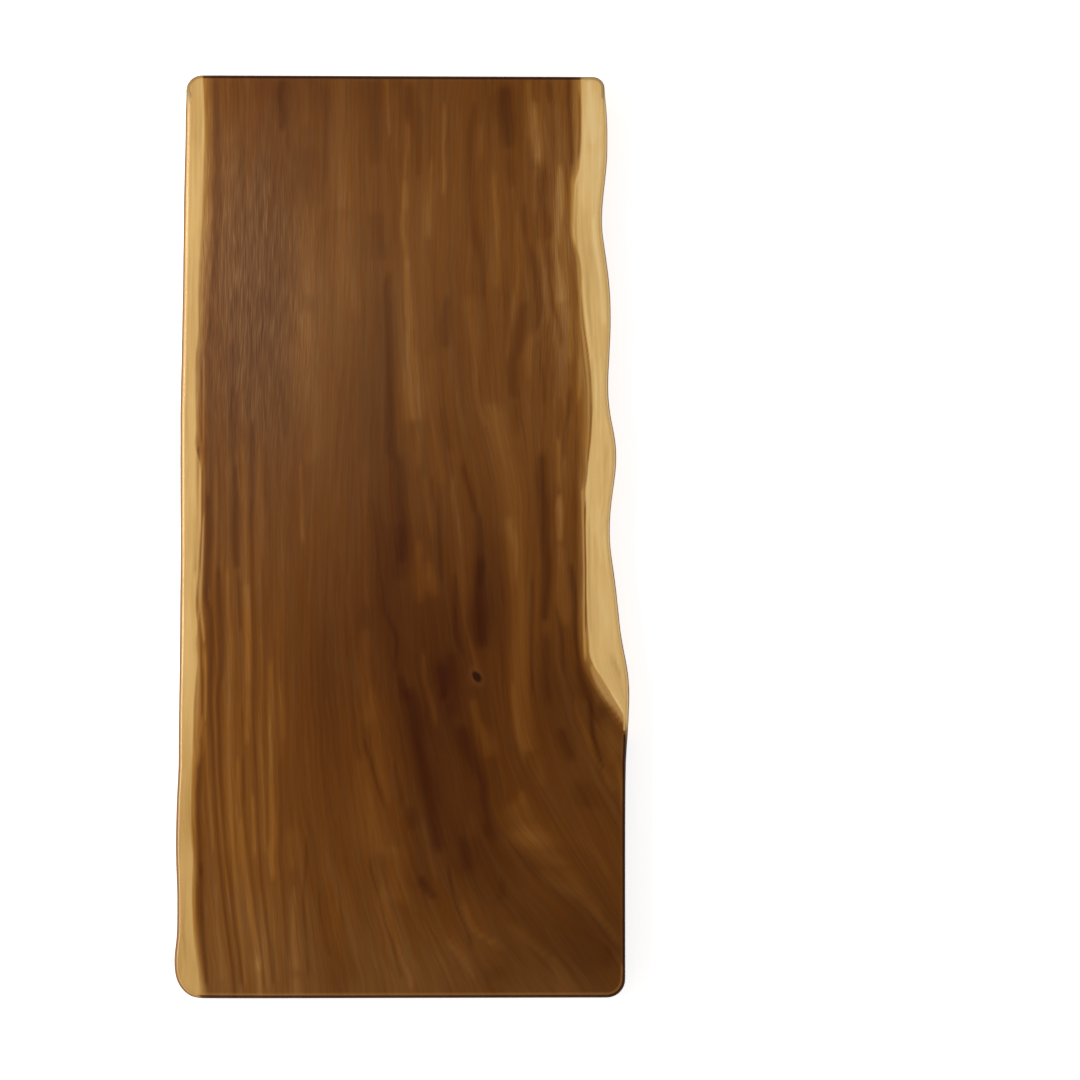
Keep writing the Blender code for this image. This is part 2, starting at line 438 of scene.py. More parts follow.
# %% Write down the lines of the figure
STATIONS = (1000, 730, 510, 300, 80, -140, -270, -400, -500, -610, -720, -850, -1000)
FIGURE_LINES = {
    "left bark": (-470, -470, -472, -475, -478, -479, -480, -482, -483, -484, -486, -490, -490),
    "pale line": (-424, -429, -432, -434, -429, -433, -424, -426, -424, -420, -414, -400, -382),
    "first stripes": (-348, -350, -353, -361, -360, -355, -352, -348, -345, -336, -328, -312, -296),
    "left third": (-274, -274, -277, -284, -288, -289, -287, -283, -280, -279, -276, -270, -262),
    "left quarter": (-194, -196, -198, -205, -215, -223, -227, -224, -221, -216, -199, -177, -149),
    "left of middle": (-107, -110, -112, -118, -126, -128, -122, -104, -87, -71, -53, -14, 33),
    "long dark line": (-34, -34, -30, -32, -28, -10, 1, 20, 39, 56, 88, 144, 228),
    "tongue": (7, 7, 7, 17, 39, 50, 62, 85, 114, 137, 171, 250, 362),
    "left of knot": (79, 74, 70, 83, 116, 130, 157, 183, 196, 217, 319, 456, 549),
    "golden band": (157, 150, 149, 169, 218, 236, 238, 246, 278, 343, 407, 486, 560),
    "dark spear": (224, 237, 251, 254, 280, 276, 280, 302, 332, 379, 438, 499, 553),
    "right of spear": (306, 313, 324, 311, 311, 313, 319, 345, 386, 445, 490, 529, 577),
    "right sapwood": (373, 367, 382, 399, 393, 389, 391, 469, 540, 600, 650, 700, 750),
    "right bark": (440, 435, 447, 449, 451, 466, 481, 516, 570, 624, 680, 740, 800),
}
# One more line lies this far outside each bark, so that every point has a line on both sides.
FAR_OUT = 400
# The curves run a little past both ends of the plank, in steps, and bend over about this length.
CURVE_REACH = 1100
CURVE_STEP = 5
CURVE_BEND = 22
curve_lengths = np.arange(-CURVE_REACH, CURVE_REACH + 1, CURVE_STEP)


def drawn_through(offsets):
    """A fair curve through one line's offsets, as its place at every few millimetres of length."""
    straight = np.interp(curve_lengths, STATIONS[::-1], offsets[::-1])
    reach = np.arange(-3 * CURVE_BEND, 3 * CURVE_BEND + 1, CURVE_STEP)
    weights = np.exp(-0.5 * (reach / CURVE_BEND) ** 2)
    padded = np.pad(straight, len(reach) // 2, mode="edge")
    return np.convolve(padded, weights / weights.sum(), mode="valid")


lines = list(FIGURE_LINES.values())
lines = [tuple(x - FAR_OUT for x in lines[0])] + lines + [tuple(x + FAR_OUT for x in lines[-1])]
line_curves = [drawn_through(line) for line in lines]
line_names = np.array([line[0] for line in lines], float)


def across_grain(x, y):
    """How far across the trunk the wood at x, y grew, in millimetres at the plank's top end."""
    places = np.stack([np.interp(y, curve_lengths, curve) for curve in line_curves], axis=-1)
    number = np.clip((places < x[..., None]).sum(axis=-1) - 1, 0, len(lines) - 2)
    before = np.take_along_axis(places, number[..., None], axis=-1)[..., 0]
    after = np.take_along_axis(places, number[..., None] + 1, axis=-1)[..., 0]
    share = (x - before) / (after - before)
    return line_names[number] + share * (line_names[number + 1] - line_names[number])


print("figure lines:", len(lines), "at", len(STATIONS), "stations")

# %% [markdown]
# ## Inside the plank
#
# The rings also curve through the thickness. The heart of the trunk lay above this plank, so the
# same ring lies a little further in on the underside than on top. Each point of the edges and the
# underside is led along its ring up to the top face, and takes its colour from where it arrives.
# That is why the stripes of the face run on down the sawn ends without a break.

# %% Follow the rings through the thickness
# In mm: where the heart of the trunk lay, across the plank and above its top, and how far to both
# sides of it the bend of the rings is softened, because it would tear the figure apart there.
HEART_X = -20.0
HEART_ABOVE = 150.0
HEART_SOFTENING = 100.0

place = np.array(points) * 1000
x, y, z = place.T
depth = thickness * 1000 - z
climb = depth * (2 * HEART_ABOVE + depth)
from_heart = x - HEART_X
ring_x = HEART_X + from_heart * np.sqrt(1 + climb / (from_heart**2 + HEART_SOFTENING**2))
across = across_grain(ring_x, y)
print("rings move out by up to", round(float((ring_x - x).max())), "mm through the thickness")

# %% [markdown]
# ## Sapwood
#
# The last few centimetres under the bark were the living wood. They stay pale, and meet the
# heartwood along one ring. Just inside that ring the wood was still turning, and is amber. How far
# each point lies from the ring is kept on the mesh. The material then draws a crisp line between
# pale and dark, sharper than the mesh is fine, because it works that distance out for every pixel.

# %% Find where the sapwood ends
# Each edge runs from top to bottom as (x, y, width of the amber band inside it).
SAPWOOD_EDGE_LEFT = [
    (-431, 1000, 28), (-428, 939, 26), (-427, 861, 25), (-430, 760, 28), (-434, 666, 31),
    (-438, 588, 31), (-440, 510, 26), (-440, 440, 20), (-445, 393, 24), (-446, 315, 25),
    (-445, 237, 21), (-446, 195, 22), (-437, 160, 13), (-435, 82, 12), (-436, 4, 13),
    (-438, -34, 14), (-441, -73, 17), (-444, -112, 19), (-446, -151, 22), (-443, -190, 22),
    (-445, -229, 24), (-442, -268, 23), (-446, -307, 26), (-449, -346, 29), (-451, -400, 30),
    (-453, -463, 30), (-454, -502, 14), (-456, -560, 14), (-455, -650, 14), (-452, -697, 12),
    (-453, -736, 13), (-454, -775, 13), (-453, -814, 12), (-451, -853, 14), (-447, -892, 14),
    (-442, -931, 15), (-437, -975, 16), (-435, -1010, 16),
]
SAPWOOD_EDGE_RIGHT = [
    (388, 1000, 23), (390, 917, 26), (390, 857, 23), (388, 826, 18), (384, 796, 18),
    (376, 770, 13), (373, 736, 10), (372, 700, 9), (373, 645, 7), (384, 610, 12),
    (389, 584, 14), (390, 554, 13), (391, 523, 12), (393, 493, 15), (396, 463, 18),
    (400, 432, 22), (405, 402, 28), (408, 372, 31), (411, 341, 34), (413, 311, 38),
    (413, 250, 36), (411, 220, 34), (408, 190, 29), (405, 160, 28), (402, 129, 27),
    (398, 99, 23), (399, 69, 21), (399, 8, 20), (401, -82, 21), (401, -143, 25),
    (403, -185, 26), (406, -234, 25), (409, -262, 24), (417, -280, 28), (426, -294, 31),
    (445, -325, 34), (463, -355, 36), (478, -380, 25), (488, -410, 12), (520, -460, 12),
    (800, -1000, 12),
]
# How much lighter than ripe heartwood the amber is where it begins.
AMBER_LIFT = 0.33


def smooth_through(y, stations, values):
    """A smooth curve through values at rising stations, read at each y between them."""
    slopes = np.gradient(values, stations)
    piece = np.clip(np.searchsorted(stations, y) - 1, 0, len(stations) - 2)
    span = stations[piece + 1] - stations[piece]
    t = np.clip((y - stations[piece]) / span, 0, 1)
    from_values = values[piece] + (values[piece + 1] - values[piece]) * t * t * (3 - 2 * t)
    return from_values + span * t * (1 - t) * ((1 - t) * slopes[piece] - t * slopes[piece + 1])


def inside_of(edge, inward):
    """How far inside one side's sapwood each point lies, in mm and in widths of the amber band."""
    edge_x, edge_y, band = np.array(edge, float)[::-1].T
    distance = inward * (ring_x - smooth_through(y, edge_y, edge_x))
    return distance, distance / np.interp(y, edge_y, band)


left_distance, left_bands = inside_of(SAPWOOD_EDGE_LEFT, 1)
right_distance, right_bands = inside_of(SAPWOOD_EDGE_RIGHT, -1)
past_sapwood = np.minimum(left_distance, right_distance)
ripeness = np.clip(np.minimum(left_bands, right_bands), 0, 1)
print("sapwood at", round(100 * float((past_sapwood < 0).mean())), "% of the points")

# %% [markdown]
# ## The figure
#
# Heartwood colour comes in streaks, because some rings hold more pigment than others, and the saw
# cut them lengthwise. A picture of wood would be the quick way to show them, but it repeats, and
# can't turn the corner onto the edge. Here each streak that an eye would remember is a ribbon: the
# places it passes from top to bottom, how wide it is at each, and by what share it is lighter or
# darker than the wood around it. A ribbon is soft across, follows a smooth curve, and fades out at
# both ends.
#
# Broad clouds lie under the ribbons. Some are lighter or darker wood. In others the saw cut across
# the pores, so that the grain is open and takes a painted sheen, or the brown is redder or more olive
# than elsewhere.

# %% Place the broad clouds
# The middle lightness of each wood, as a place on the colour ramp that it gets further down.
WOOD_LIGHTNESS = 0.512
SAPWOOD_LIGHTNESS = 0.63
SAP_CLOUDS = [
    # x, y, reach across, reach along, lighter or darker
    (-460, 720, 50, 180, 0.08),
    (-460, 420, 50, 120, -0.05),
    (-460, -340, 60, 90, 0.05),
    (-460, -640, 60, 180, -0.07),
    (-460, -930, 60, 150, -0.10),
    (430, 860, 70, 190, 0.34),
    (440, 100, 90, 800, 0.40),
    (-460, 0, 60, 1200, 0.10),
]
HEART_CLOUDS = [
    # x, y, reach across, reach along, lighter or darker
    (0, 690, 650, 210, 0.07),
    (370, 480, 110, 560, 0.13),
    (-280, 560, 110, 480, -0.03),
    (-400, 0, 90, 1000, 0.04),
    (-180, 480, 110, 130, 0.05),
    (150, -170, 120, 110, -0.06),
    (30, -60, 150, 200, -0.10),
    (20, -300, 150, 200, -0.16),
    (-150, -260, 70, 170, -0.08),
    (200, -480, 330, 190, -0.10),
    (220, -720, 220, 130, -0.13),
    (-370, -560, 110, 260, 0.07),
    (-340, -960, 200, 190, 0.13),
    (-130, -950, 40, 60, -0.12),
    (213, -950, 50, 60, -0.10),
    (-220, 970, 200, 50, -0.05),
    (300, 940, 40, 110, 0.08),
    (356, 350, 26, 280, 0.09),
    (20, -960, 110, 130, 0.07),
    (410, -240, 40, 90, 0.06),
    (-370, 650, 60, 600, 0.10),
    (-215, 450, 60, 230, 0.09),
    (-130, 650, 50, 280, 0.08),
    (-60, 300, 50, 500, -0.08),
    (45, 480, 60, 300, 0.06),
    (220, 950, 60, 120, -0.08),
    (350, 650, 30, 330, 0.20),
    (230, 230, 60, 160, 0.06),
    (-330, -600, 80, 420, 0.10),
    (-330, 0, 70, 250, 0.02),
    (-190, -350, 60, 260, -0.08),
    (-30, -80, 60, 200, -0.10),
    (60, -440, 60, 260, -0.12),
    (150, -380, 70, 260, -0.13),
    (200, -100, 60, 160, -0.10),
    (320, -60, 60, 200, -0.06),
    (330, -330, 70, 130, -0.14),
    (150, -660, 90, 120, -0.10),
    (40, -700, 30, 90, -0.06),
    (290, -900, 110, 110, -0.10),
    (420, -900, 90, 130, -0.20),
    (-170, 430, 80, 330, 0.05),
    (0, 640, 90, 360, 0.03),
    (200, 680, 150, 340, 0.045),
    (330, -980, 150, 80, 0.06),
]
OPEN_GRAIN_AND_SHEEN_CLOUDS = [
    # x, y, reach across, reach along, how open and how strong its painted sheen
    (-335, 530, 120, 320, 1.0),
    (330, 700, 60, 500, 0.3),
]
WARM_CLOUDS = [
    # x, y, reach across, reach along, redder or more olive
    (-310, 480, 90, 330, -0.75),
    (-130, 450, 140, 250, -0.35),
    (-80, 180, 130, 200, -0.20),
    (-330, -450, 110, 280, 0.38),
    (-120, -500, 110, 150, 0.35),
    (110, -320, 260, 260, 0.45),
    (0, -80, 130, 130, 0.25),
    (230, 780, 190, 260, 0.20),
    (290, 200, 110, 330, 0.18),
    (-330, 990, 110, 70, 0.70),
    (300, 1000, 130, 70, 0.50),
    (0, -980, 480, 120, -0.75),
    (390, -980, 90, 130, -0.40),
    (445, -335, 45, 80, -0.40),
]


def clouds(listed, x, y):
    """The sum of soft round clouds at these points."""
    total = np.zeros_like(x)
    for cloud_x, cloud_y, reach_x, reach_y, shade in listed:
        total += shade * np.exp(-(((x - cloud_x) / reach_x) ** 2) - ((y - cloud_y) / reach_y) ** 2)
    return total


# %% Draw the ribbons near the left edge
# Each ribbon: lighter or darker, then its way from top to bottom as (x, y, width).
RIBBONS_LEFT = [
    (-0.14, (-404, 1000, 10), (-399, 850, 12), (-395, 780, 13), (-397, 720, 14), (-416, 440, 10),
     (-418, 400, 9), (-415, 350, 9), (-414, 200, 9), (-412, 120, 9), (-415, 60, 12)),
    (-0.32, (-419, 100, 9), (-416, 0, 14), (-420, -60, 12), (-421, -100, 13), (-424, -130, 10),
     (-415, -160, 9), (-412, -210, 10), (-413, -380, 8), (-410, -430, 8), (-401, -600, 6), (-379, -835, 9),
     (-363, -960, 12), (-361, -1010, 12)),
    (0.45, (-428, 60, 4), (-433, -70, 5), (-435, -130, 6), (-426, -240, 6)),
    (0.35, (-426, -230, 6), (-424, -300, 5), (-425, -410, 5)),
    (0.24, (-425, -400, 6), (-423, -460, 7), (-408, -690, 6)),
    (-0.20, (-435, -420, 5), (-434, -470, 5), (-439, -540, 8), (-434, -740, 10)),
    (-0.36, (-434, -700, 10), (-434, -800, 13), (-431, -850, 9), (-421, -980, 8)),
    (0.15, (-405, 170, 7), (-402, 60, 11), (-405, -60, 8), (-409, -120, 6), (-407, -150, 6),
     (-401, -290, 6), (-405, -350, 6), (-404, -390, 6), (-390, -640, 5), (-355, -940, 4)),
    (-0.12, (-397, 210, 6), (-394, 60, 8), (-396, 0, 8), (-396, -100, 8)),
    (-0.29, (-397, -60, 8), (-391, -200, 17), (-392, -300, 14), (-395, -320, 10), (-394, -430, 9),
     (-393, -480, 12), (-382, -650, 8), (-378, -700, 9), (-372, -740, 9), (-362, -840, 9), (-351, -920, 9),
     (-346, -980, 10)),
    (0.09, (-379, 890, 16), (-374, 830, 24), (-378, 760, 20), (-376, 690, 18)),
    (0.21, (-378, -60, 8), (-374, -170, 12), (-371, -220, 15), (-375, -410, 11), (-373, -470, 11),
     (-365, -690, 9), (-355, -790, 9), (-336, -980, 7)),
    (-0.15, (-342, 860, 9), (-343, 820, 12), (-346, 770, 12), (-341, 690, 13), (-333, 480, 14),
     (-329, 430, 13), (-331, 250, 11)),
    (-0.24, (-323, 260, 12), (-322, 160, 13), (-325, 10, 9), (-323, -50, 9), (-324, -100, 8),
     (-320, -210, 11), (-319, -430, 10), (-316, -490, 11), (-311, -640, 8), (-293, -830, 8),
     (-282, -910, 8), (-277, -980, 8)),
    (-0.12, (-371, 530, 6), (-364, 400, 8), (-366, 340, 11), (-365, 300, 12)),
    (-0.24, (-366, 330, 8), (-364, 270, 22), (-363, 220, 18), (-366, 180, 15), (-361, 130, 14)),
    (-0.42, (-361, 160, 8), (-362, 110, 13), (-360, 60, 20), (-361, 10, 19), (-355, -80, 12)),
    (-0.28, (-355, -70, 12), (-348, -210, 7)),
    (0.18, (-345, 210, 8), (-340, 90, 17), (-337, -110, 18)),
    (0.40, (-336, -90, 15), (-334, -150, 17), (-333, -330, 14)),
    (0.28, (-333, -310, 14), (-335, -455, 12)),
    (0.24, (-323, -550, 9), (-318, -700, 9)),
    (-0.14, (-346, -360, 5), (-341, -590, 9)),
    (-0.20, (-343, -470, 7), (-342, -560, 8), (-328, -710, 10), (-319, -790, 6), (-300, -940, 5),
     (-296, -985, 7)),
    (0.13, (-357, -470, 14), (-354, -620, 12)),
    (0.24, (-350, -600, 10), (-342, -700, 15), (-335, -740, 9), (-325, -820, 17), (-312, -905, 15),
     (-309, -950, 15)),
    (0.30, (-311, -900, 12), (-306, -1010, 15)),
    (0.12, (-308, -755, 7), (-290, -990, 9)),
    (0.11, (-310, 210, 9), (-308, 80, 16), (-310, -60, 14), (-309, -120, 9)),
    (0.18, (-306, -200, 8), (-303, -320, 8), (-305, -370, 9), (-298, -600, 8), (-296, -660, 9),
     (-290, -700, 12)),
    (-0.13, (-303, -30, 5), (-297, -230, 8), (-296, -280, 5), (-290, -640, 4)),
    (0.25, (-285, -260, 10), (-282, -370, 14), (-283, -420, 15), (-278, -590, 14), (-277, -640, 15),
     (-281, -690, 16), (-277, -750, 18)),
    (0.12, (-290, -740, 12), (-276, -850, 14), (-271, -910, 8), (-268, -970, 8)),
    (0.18, (-263, -300, 8), (-258, -400, 17), (-254, -450, 10)),
    (-0.12, (-262, -470, 8), (-258, -540, 15), (-258, -620, 14), (-261, -680, 9), (-257, -750, 13),
     (-254, -820, 8), (-246, -990, 11)),
    (0.14, (-237, -620, 24), (-236, -680, 27), (-238, -730, 18)),
    (0.26, (-234, -750, 8), (-232, -850, 16), (-226, -950, 28)),
    (0.18, (-229, -940, 22), (-226, -1010, 22)),
    (-0.16, (-205, -640, 6), (-206, -700, 10), (-212, -770, 7), (-206, -890, 8), (-201, -960, 12)),
    (-0.16, (-179, -760, 5), (-176, -820, 8), (-168, -855, 9), (-160, -890, 12), (-141, -920, 10)),
    (0.10, (-403, -740, 7), (-401, -800, 8), (-400, -860, 12), (-394, -910, 16), (-390, -970, 12)),
    (-0.13, (-293, 660, 6), (-293, 600, 9), (-303, 490, 9), (-304, 450, 18), (-304, 330, 9)),
    (-0.14, (-262, 350, 7), (-258, 300, 15), (-252, 260, 17), (-255, 205, 8)),
    (-0.12, (-293, 215, 5), (-293, 170, 7), (-296, 130, 14), (-294, 80, 10), (-295, 30, 5)),
    (0.26, (-219, 170, 8), (-217, 110, 7), (-217, 30, 9), (-213, -20, 12)),
]

# %% Draw the ribbons of the middle
RIBBONS_MIDDLE = [
    (-0.30, (-255, 1000, 24), (-262, 950, 22), (-258, 910, 20), (-260, 870, 12)),
    (0.08, (-202, 990, 30), (-205, 940, 30), (-204, 880, 28)),
    (-0.12, (-170, 990, 14), (-164, 930, 14), (-166, 870, 10), (-168, 750, 8)),
    (-0.10, (-205, 850, 40), (-215, 740, 36)),
    (0.13, (-134, 1005, 40), (-130, 700, 44)),
    (0.10, (-200, 730, 46), (-200, 570, 50), (-196, 510, 40)),
    (0.13, (-208, 500, 30), (-205, 440, 50), (-205, 350, 56), (-190, 280, 50), (-190, 210, 46),
     (-205, 150, 30)),
    (-0.08, (-168, 710, 14), (-165, 640, 16), (-152, 500, 20), (-149, 350, 14)),
    (0.08, (-118, 700, 30), (-116, 600, 34), (-104, 540, 40), (-100, 470, 20)),
    (-0.14, (-64, 1000, 46), (-60, 870, 32), (-60, 800, 26)),
    (0.30, (-32, 1005, 9), (-28, 900, 11), (-25, 860, 7)),
    (0.08, (-14, 980, 18), (-12, 830, 22)),
    (-0.20, (14, 990, 18), (24, 920, 42), (34, 880, 24), (36, 830, 18), (36, 770, 12)),
    (0.16, (11, 905, 12), (12, 850, 12), (8, 810, 9), (7, 700, 14)),
    (0.22, (6, 780, 8), (7, 720, 12), (4, 670, 15), (9, 620, 12), (11, 580, 14)),
    (0.36, (11, 610, 12), (14, 500, 20), (17, 450, 21), (16, 440, 20), (19, 390, 30), (24, 320, 48),
     (30, 240, 34)),
    (0.14, (37, 250, 16), (36, 170, 16), (38, 140, 12)),
    (0.22, (65, 825, 8), (60, 730, 15), (58, 640, 20)),
    (0.26, (93, 950, 6), (92, 900, 10), (90, 850, 8), (91, 760, 13), (88, 730, 9)),
    (-0.18, (158, 950, 12), (148, 850, 20), (148, 790, 22), (150, 690, 20), (158, 650, 32), (172, 610, 20),
     (175, 560, 14), (178, 510, 12)),
    (0.15, (170, 900, 14), (172, 810, 16)),
    (0.17, (200, 800, 14), (201, 740, 20), (206, 640, 34), (205, 530, 24)),
    (-0.12, (-60, 710, 46), (-50, 650, 54), (-48, 590, 54)),
    (-0.27, (-24, 580, 10), (-32, 545, 18), (-30, 500, 24), (-26, 310, 18), (-26, 220, 25), (-20, 180, 30),
     (-14, 170, 34), (-6, 120, 32), (-5, 70, 26), (0, 30, 24), (1, -65, 18)),
    (-0.12, (-8, 40, 46), (-4, -20, 46), (-4, -100, 44)),
    (-0.26, (100, 530, 12), (93, 450, 26), (96, 400, 22)),
    (0.17, (146, 530, 28), (148, 490, 34), (156, 450, 28), (160, 360, 14), (160, 320, 12), (176, 255, 14),
     (188, 230, 14)),
    (0.09, (66, 400, 28), (66, 350, 26), (74, 200, 14), (84, 120, 22), (85, 100, 12)),
    (-0.13, (86, 290, 12), (94, 245, 24), (100, 200, 24), (112, 175, 24)),
    (-0.18, (66, 140, 8), (68, 95, 9), (76, 65, 13), (82, -20, 13), (89, -110, 7)),
    (0.16, (49, 140, 8), (59, 55, 13), (68, -5, 8)),
    (0.16, (113, 140, 10), (112, 100, 13), (128, 0, 14), (131, -100, 20), (135, -150, 16), (137, -190, 8),
     (147, -222, 9), (155, -250, 14), (162, -270, 18), (163, -300, 26), (152, -330, 20)),
    (-0.22, (132, 170, 14), (138, 130, 14), (149, 100, 13), (164, 40, 18)),
    (0.08, (-78, 180, 30), (-82, 0, 40), (-76, -160, 30)),
    (-0.14, (-66, 95, 6), (-50, -40, 7), (-47, -80, 7), (-41, -110, 7), (-36, -160, 13), (-10, -220, 13),
     (-14, -270, 11), (-12, -300, 10)),
    (0.24, (38, 0, 16), (38, -50, 24), (44, -90, 46), (37, -150, 14)),
    (0.22, (60, -40, 10), (64, -80, 18), (70, -110, 24), (74, -140, 14)),
    (0.24, (46, -240, 11), (54, -320, 10), (62, -345, 13), (76, -420, 10)),
    (-0.18, (116, -70, 10), (117, -130, 11), (122, -230, 16), (134, -260, 10)),
    (-0.30, (164, 60, 12), (168, 30, 15), (171, -60, 20), (168, -115, 14)),
    (-0.36, (172, -40, 18), (171, -90, 16), (171, -170, 38), (175, -248, 24)),
    (0.18, (-78, -190, 26), (-79, -300, 38), (-72, -350, 42), (-64, -400, 40), (-56, -420, 30),
     (-50, -470, 28), (-42, -515, 24), (-32, -550, 16), (-27, -590, 8)),
    (0.12, (-66, -320, 14), (-62, -410, 34)),
    (0.16, (-90, -470, 20), (-66, -600, 56), (-36, -700, 70)),
    (-0.26, (-83, -430, 6), (-76, -458, 7), (-67, -482, 7), (-63, -505, 8), (-55, -530, 7), (-37, -590, 5)),
    (0.16, (-20, -660, 30), (-10, -700, 44), (-14, -740, 50), (-8, -775, 54), (10, -800, 50)),
    (0.18, (-44, -750, 8), (-40, -785, 18), (-32, -815, 20), (-24, -845, 15), (-15, -865, 11),
     (6, -925, 14), (18, -950, 15), (22, -990, 13)),
    (-0.22, (-71, -690, 7), (-64, -730, 6), (-46, -785, 4), (-38, -825, 4), (-20, -880, 6), (-5, -940, 8),
     (3, -965, 8)),
    (-0.20, (-6, -290, 14), (12, -365, 30)),
    (-0.28, (12, -320, 26), (26, -380, 38), (38, -460, 34), (54, -530, 40), (82, -690, 26)),
    (-0.26, (88, -265, 30), (90, -300, 32), (92, -335, 22), (84, -365, 8)),
    (-0.14, (108, -240, 46), (108, -300, 44), (112, -400, 26)),
    (-0.24, (130, -400, 22), (138, -440, 34), (163, -505, 28), (174, -530, 26), (178, -575, 22),
     (187, -610, 18), (194, -640, 26), (212, -668, 18)),
    (0.28, (152, -340, 18), (164, -400, 18), (176, -425, 34), (186, -455, 34), (190, -485, 20)),
    (-0.20, (14, -575, 26), (20, -610, 28), (22, -645, 18)),
    (-0.16, (-18, -480, 7), (-12, -520, 9), (-2, -560, 14), (0, -595, 12)),
    (0.14, (44, -605, 10), (50, -645, 16), (68, -720, 10), (78, -750, 9)),
    (0.12, (150, -585, 30), (152, -660, 16)),
    (-0.16, (126, -640, 14), (142, -710, 34), (140, -740, 26)),
    (-0.30, (42, -725, 16), (50, -755, 28), (84, -795, 12)),
    (-0.22, (99, -700, 6), (110, -765, 8), (119, -795, 5), (146, -865, 12), (154, -900, 12)),
    (0.18, (96, -860, 9), (112, -888, 18), (130, -908, 15), (144, -932, 11), (162, -965, 10)),
    (0.24, (128, -780, 8), (137, -805, 15), (149, -838, 17), (166, -860, 20), (192, -875, 24),
     (222, -900, 24)),
    (-0.14, (216, -730, 8), (212, -790, 30), (206, -800, 24)),
]

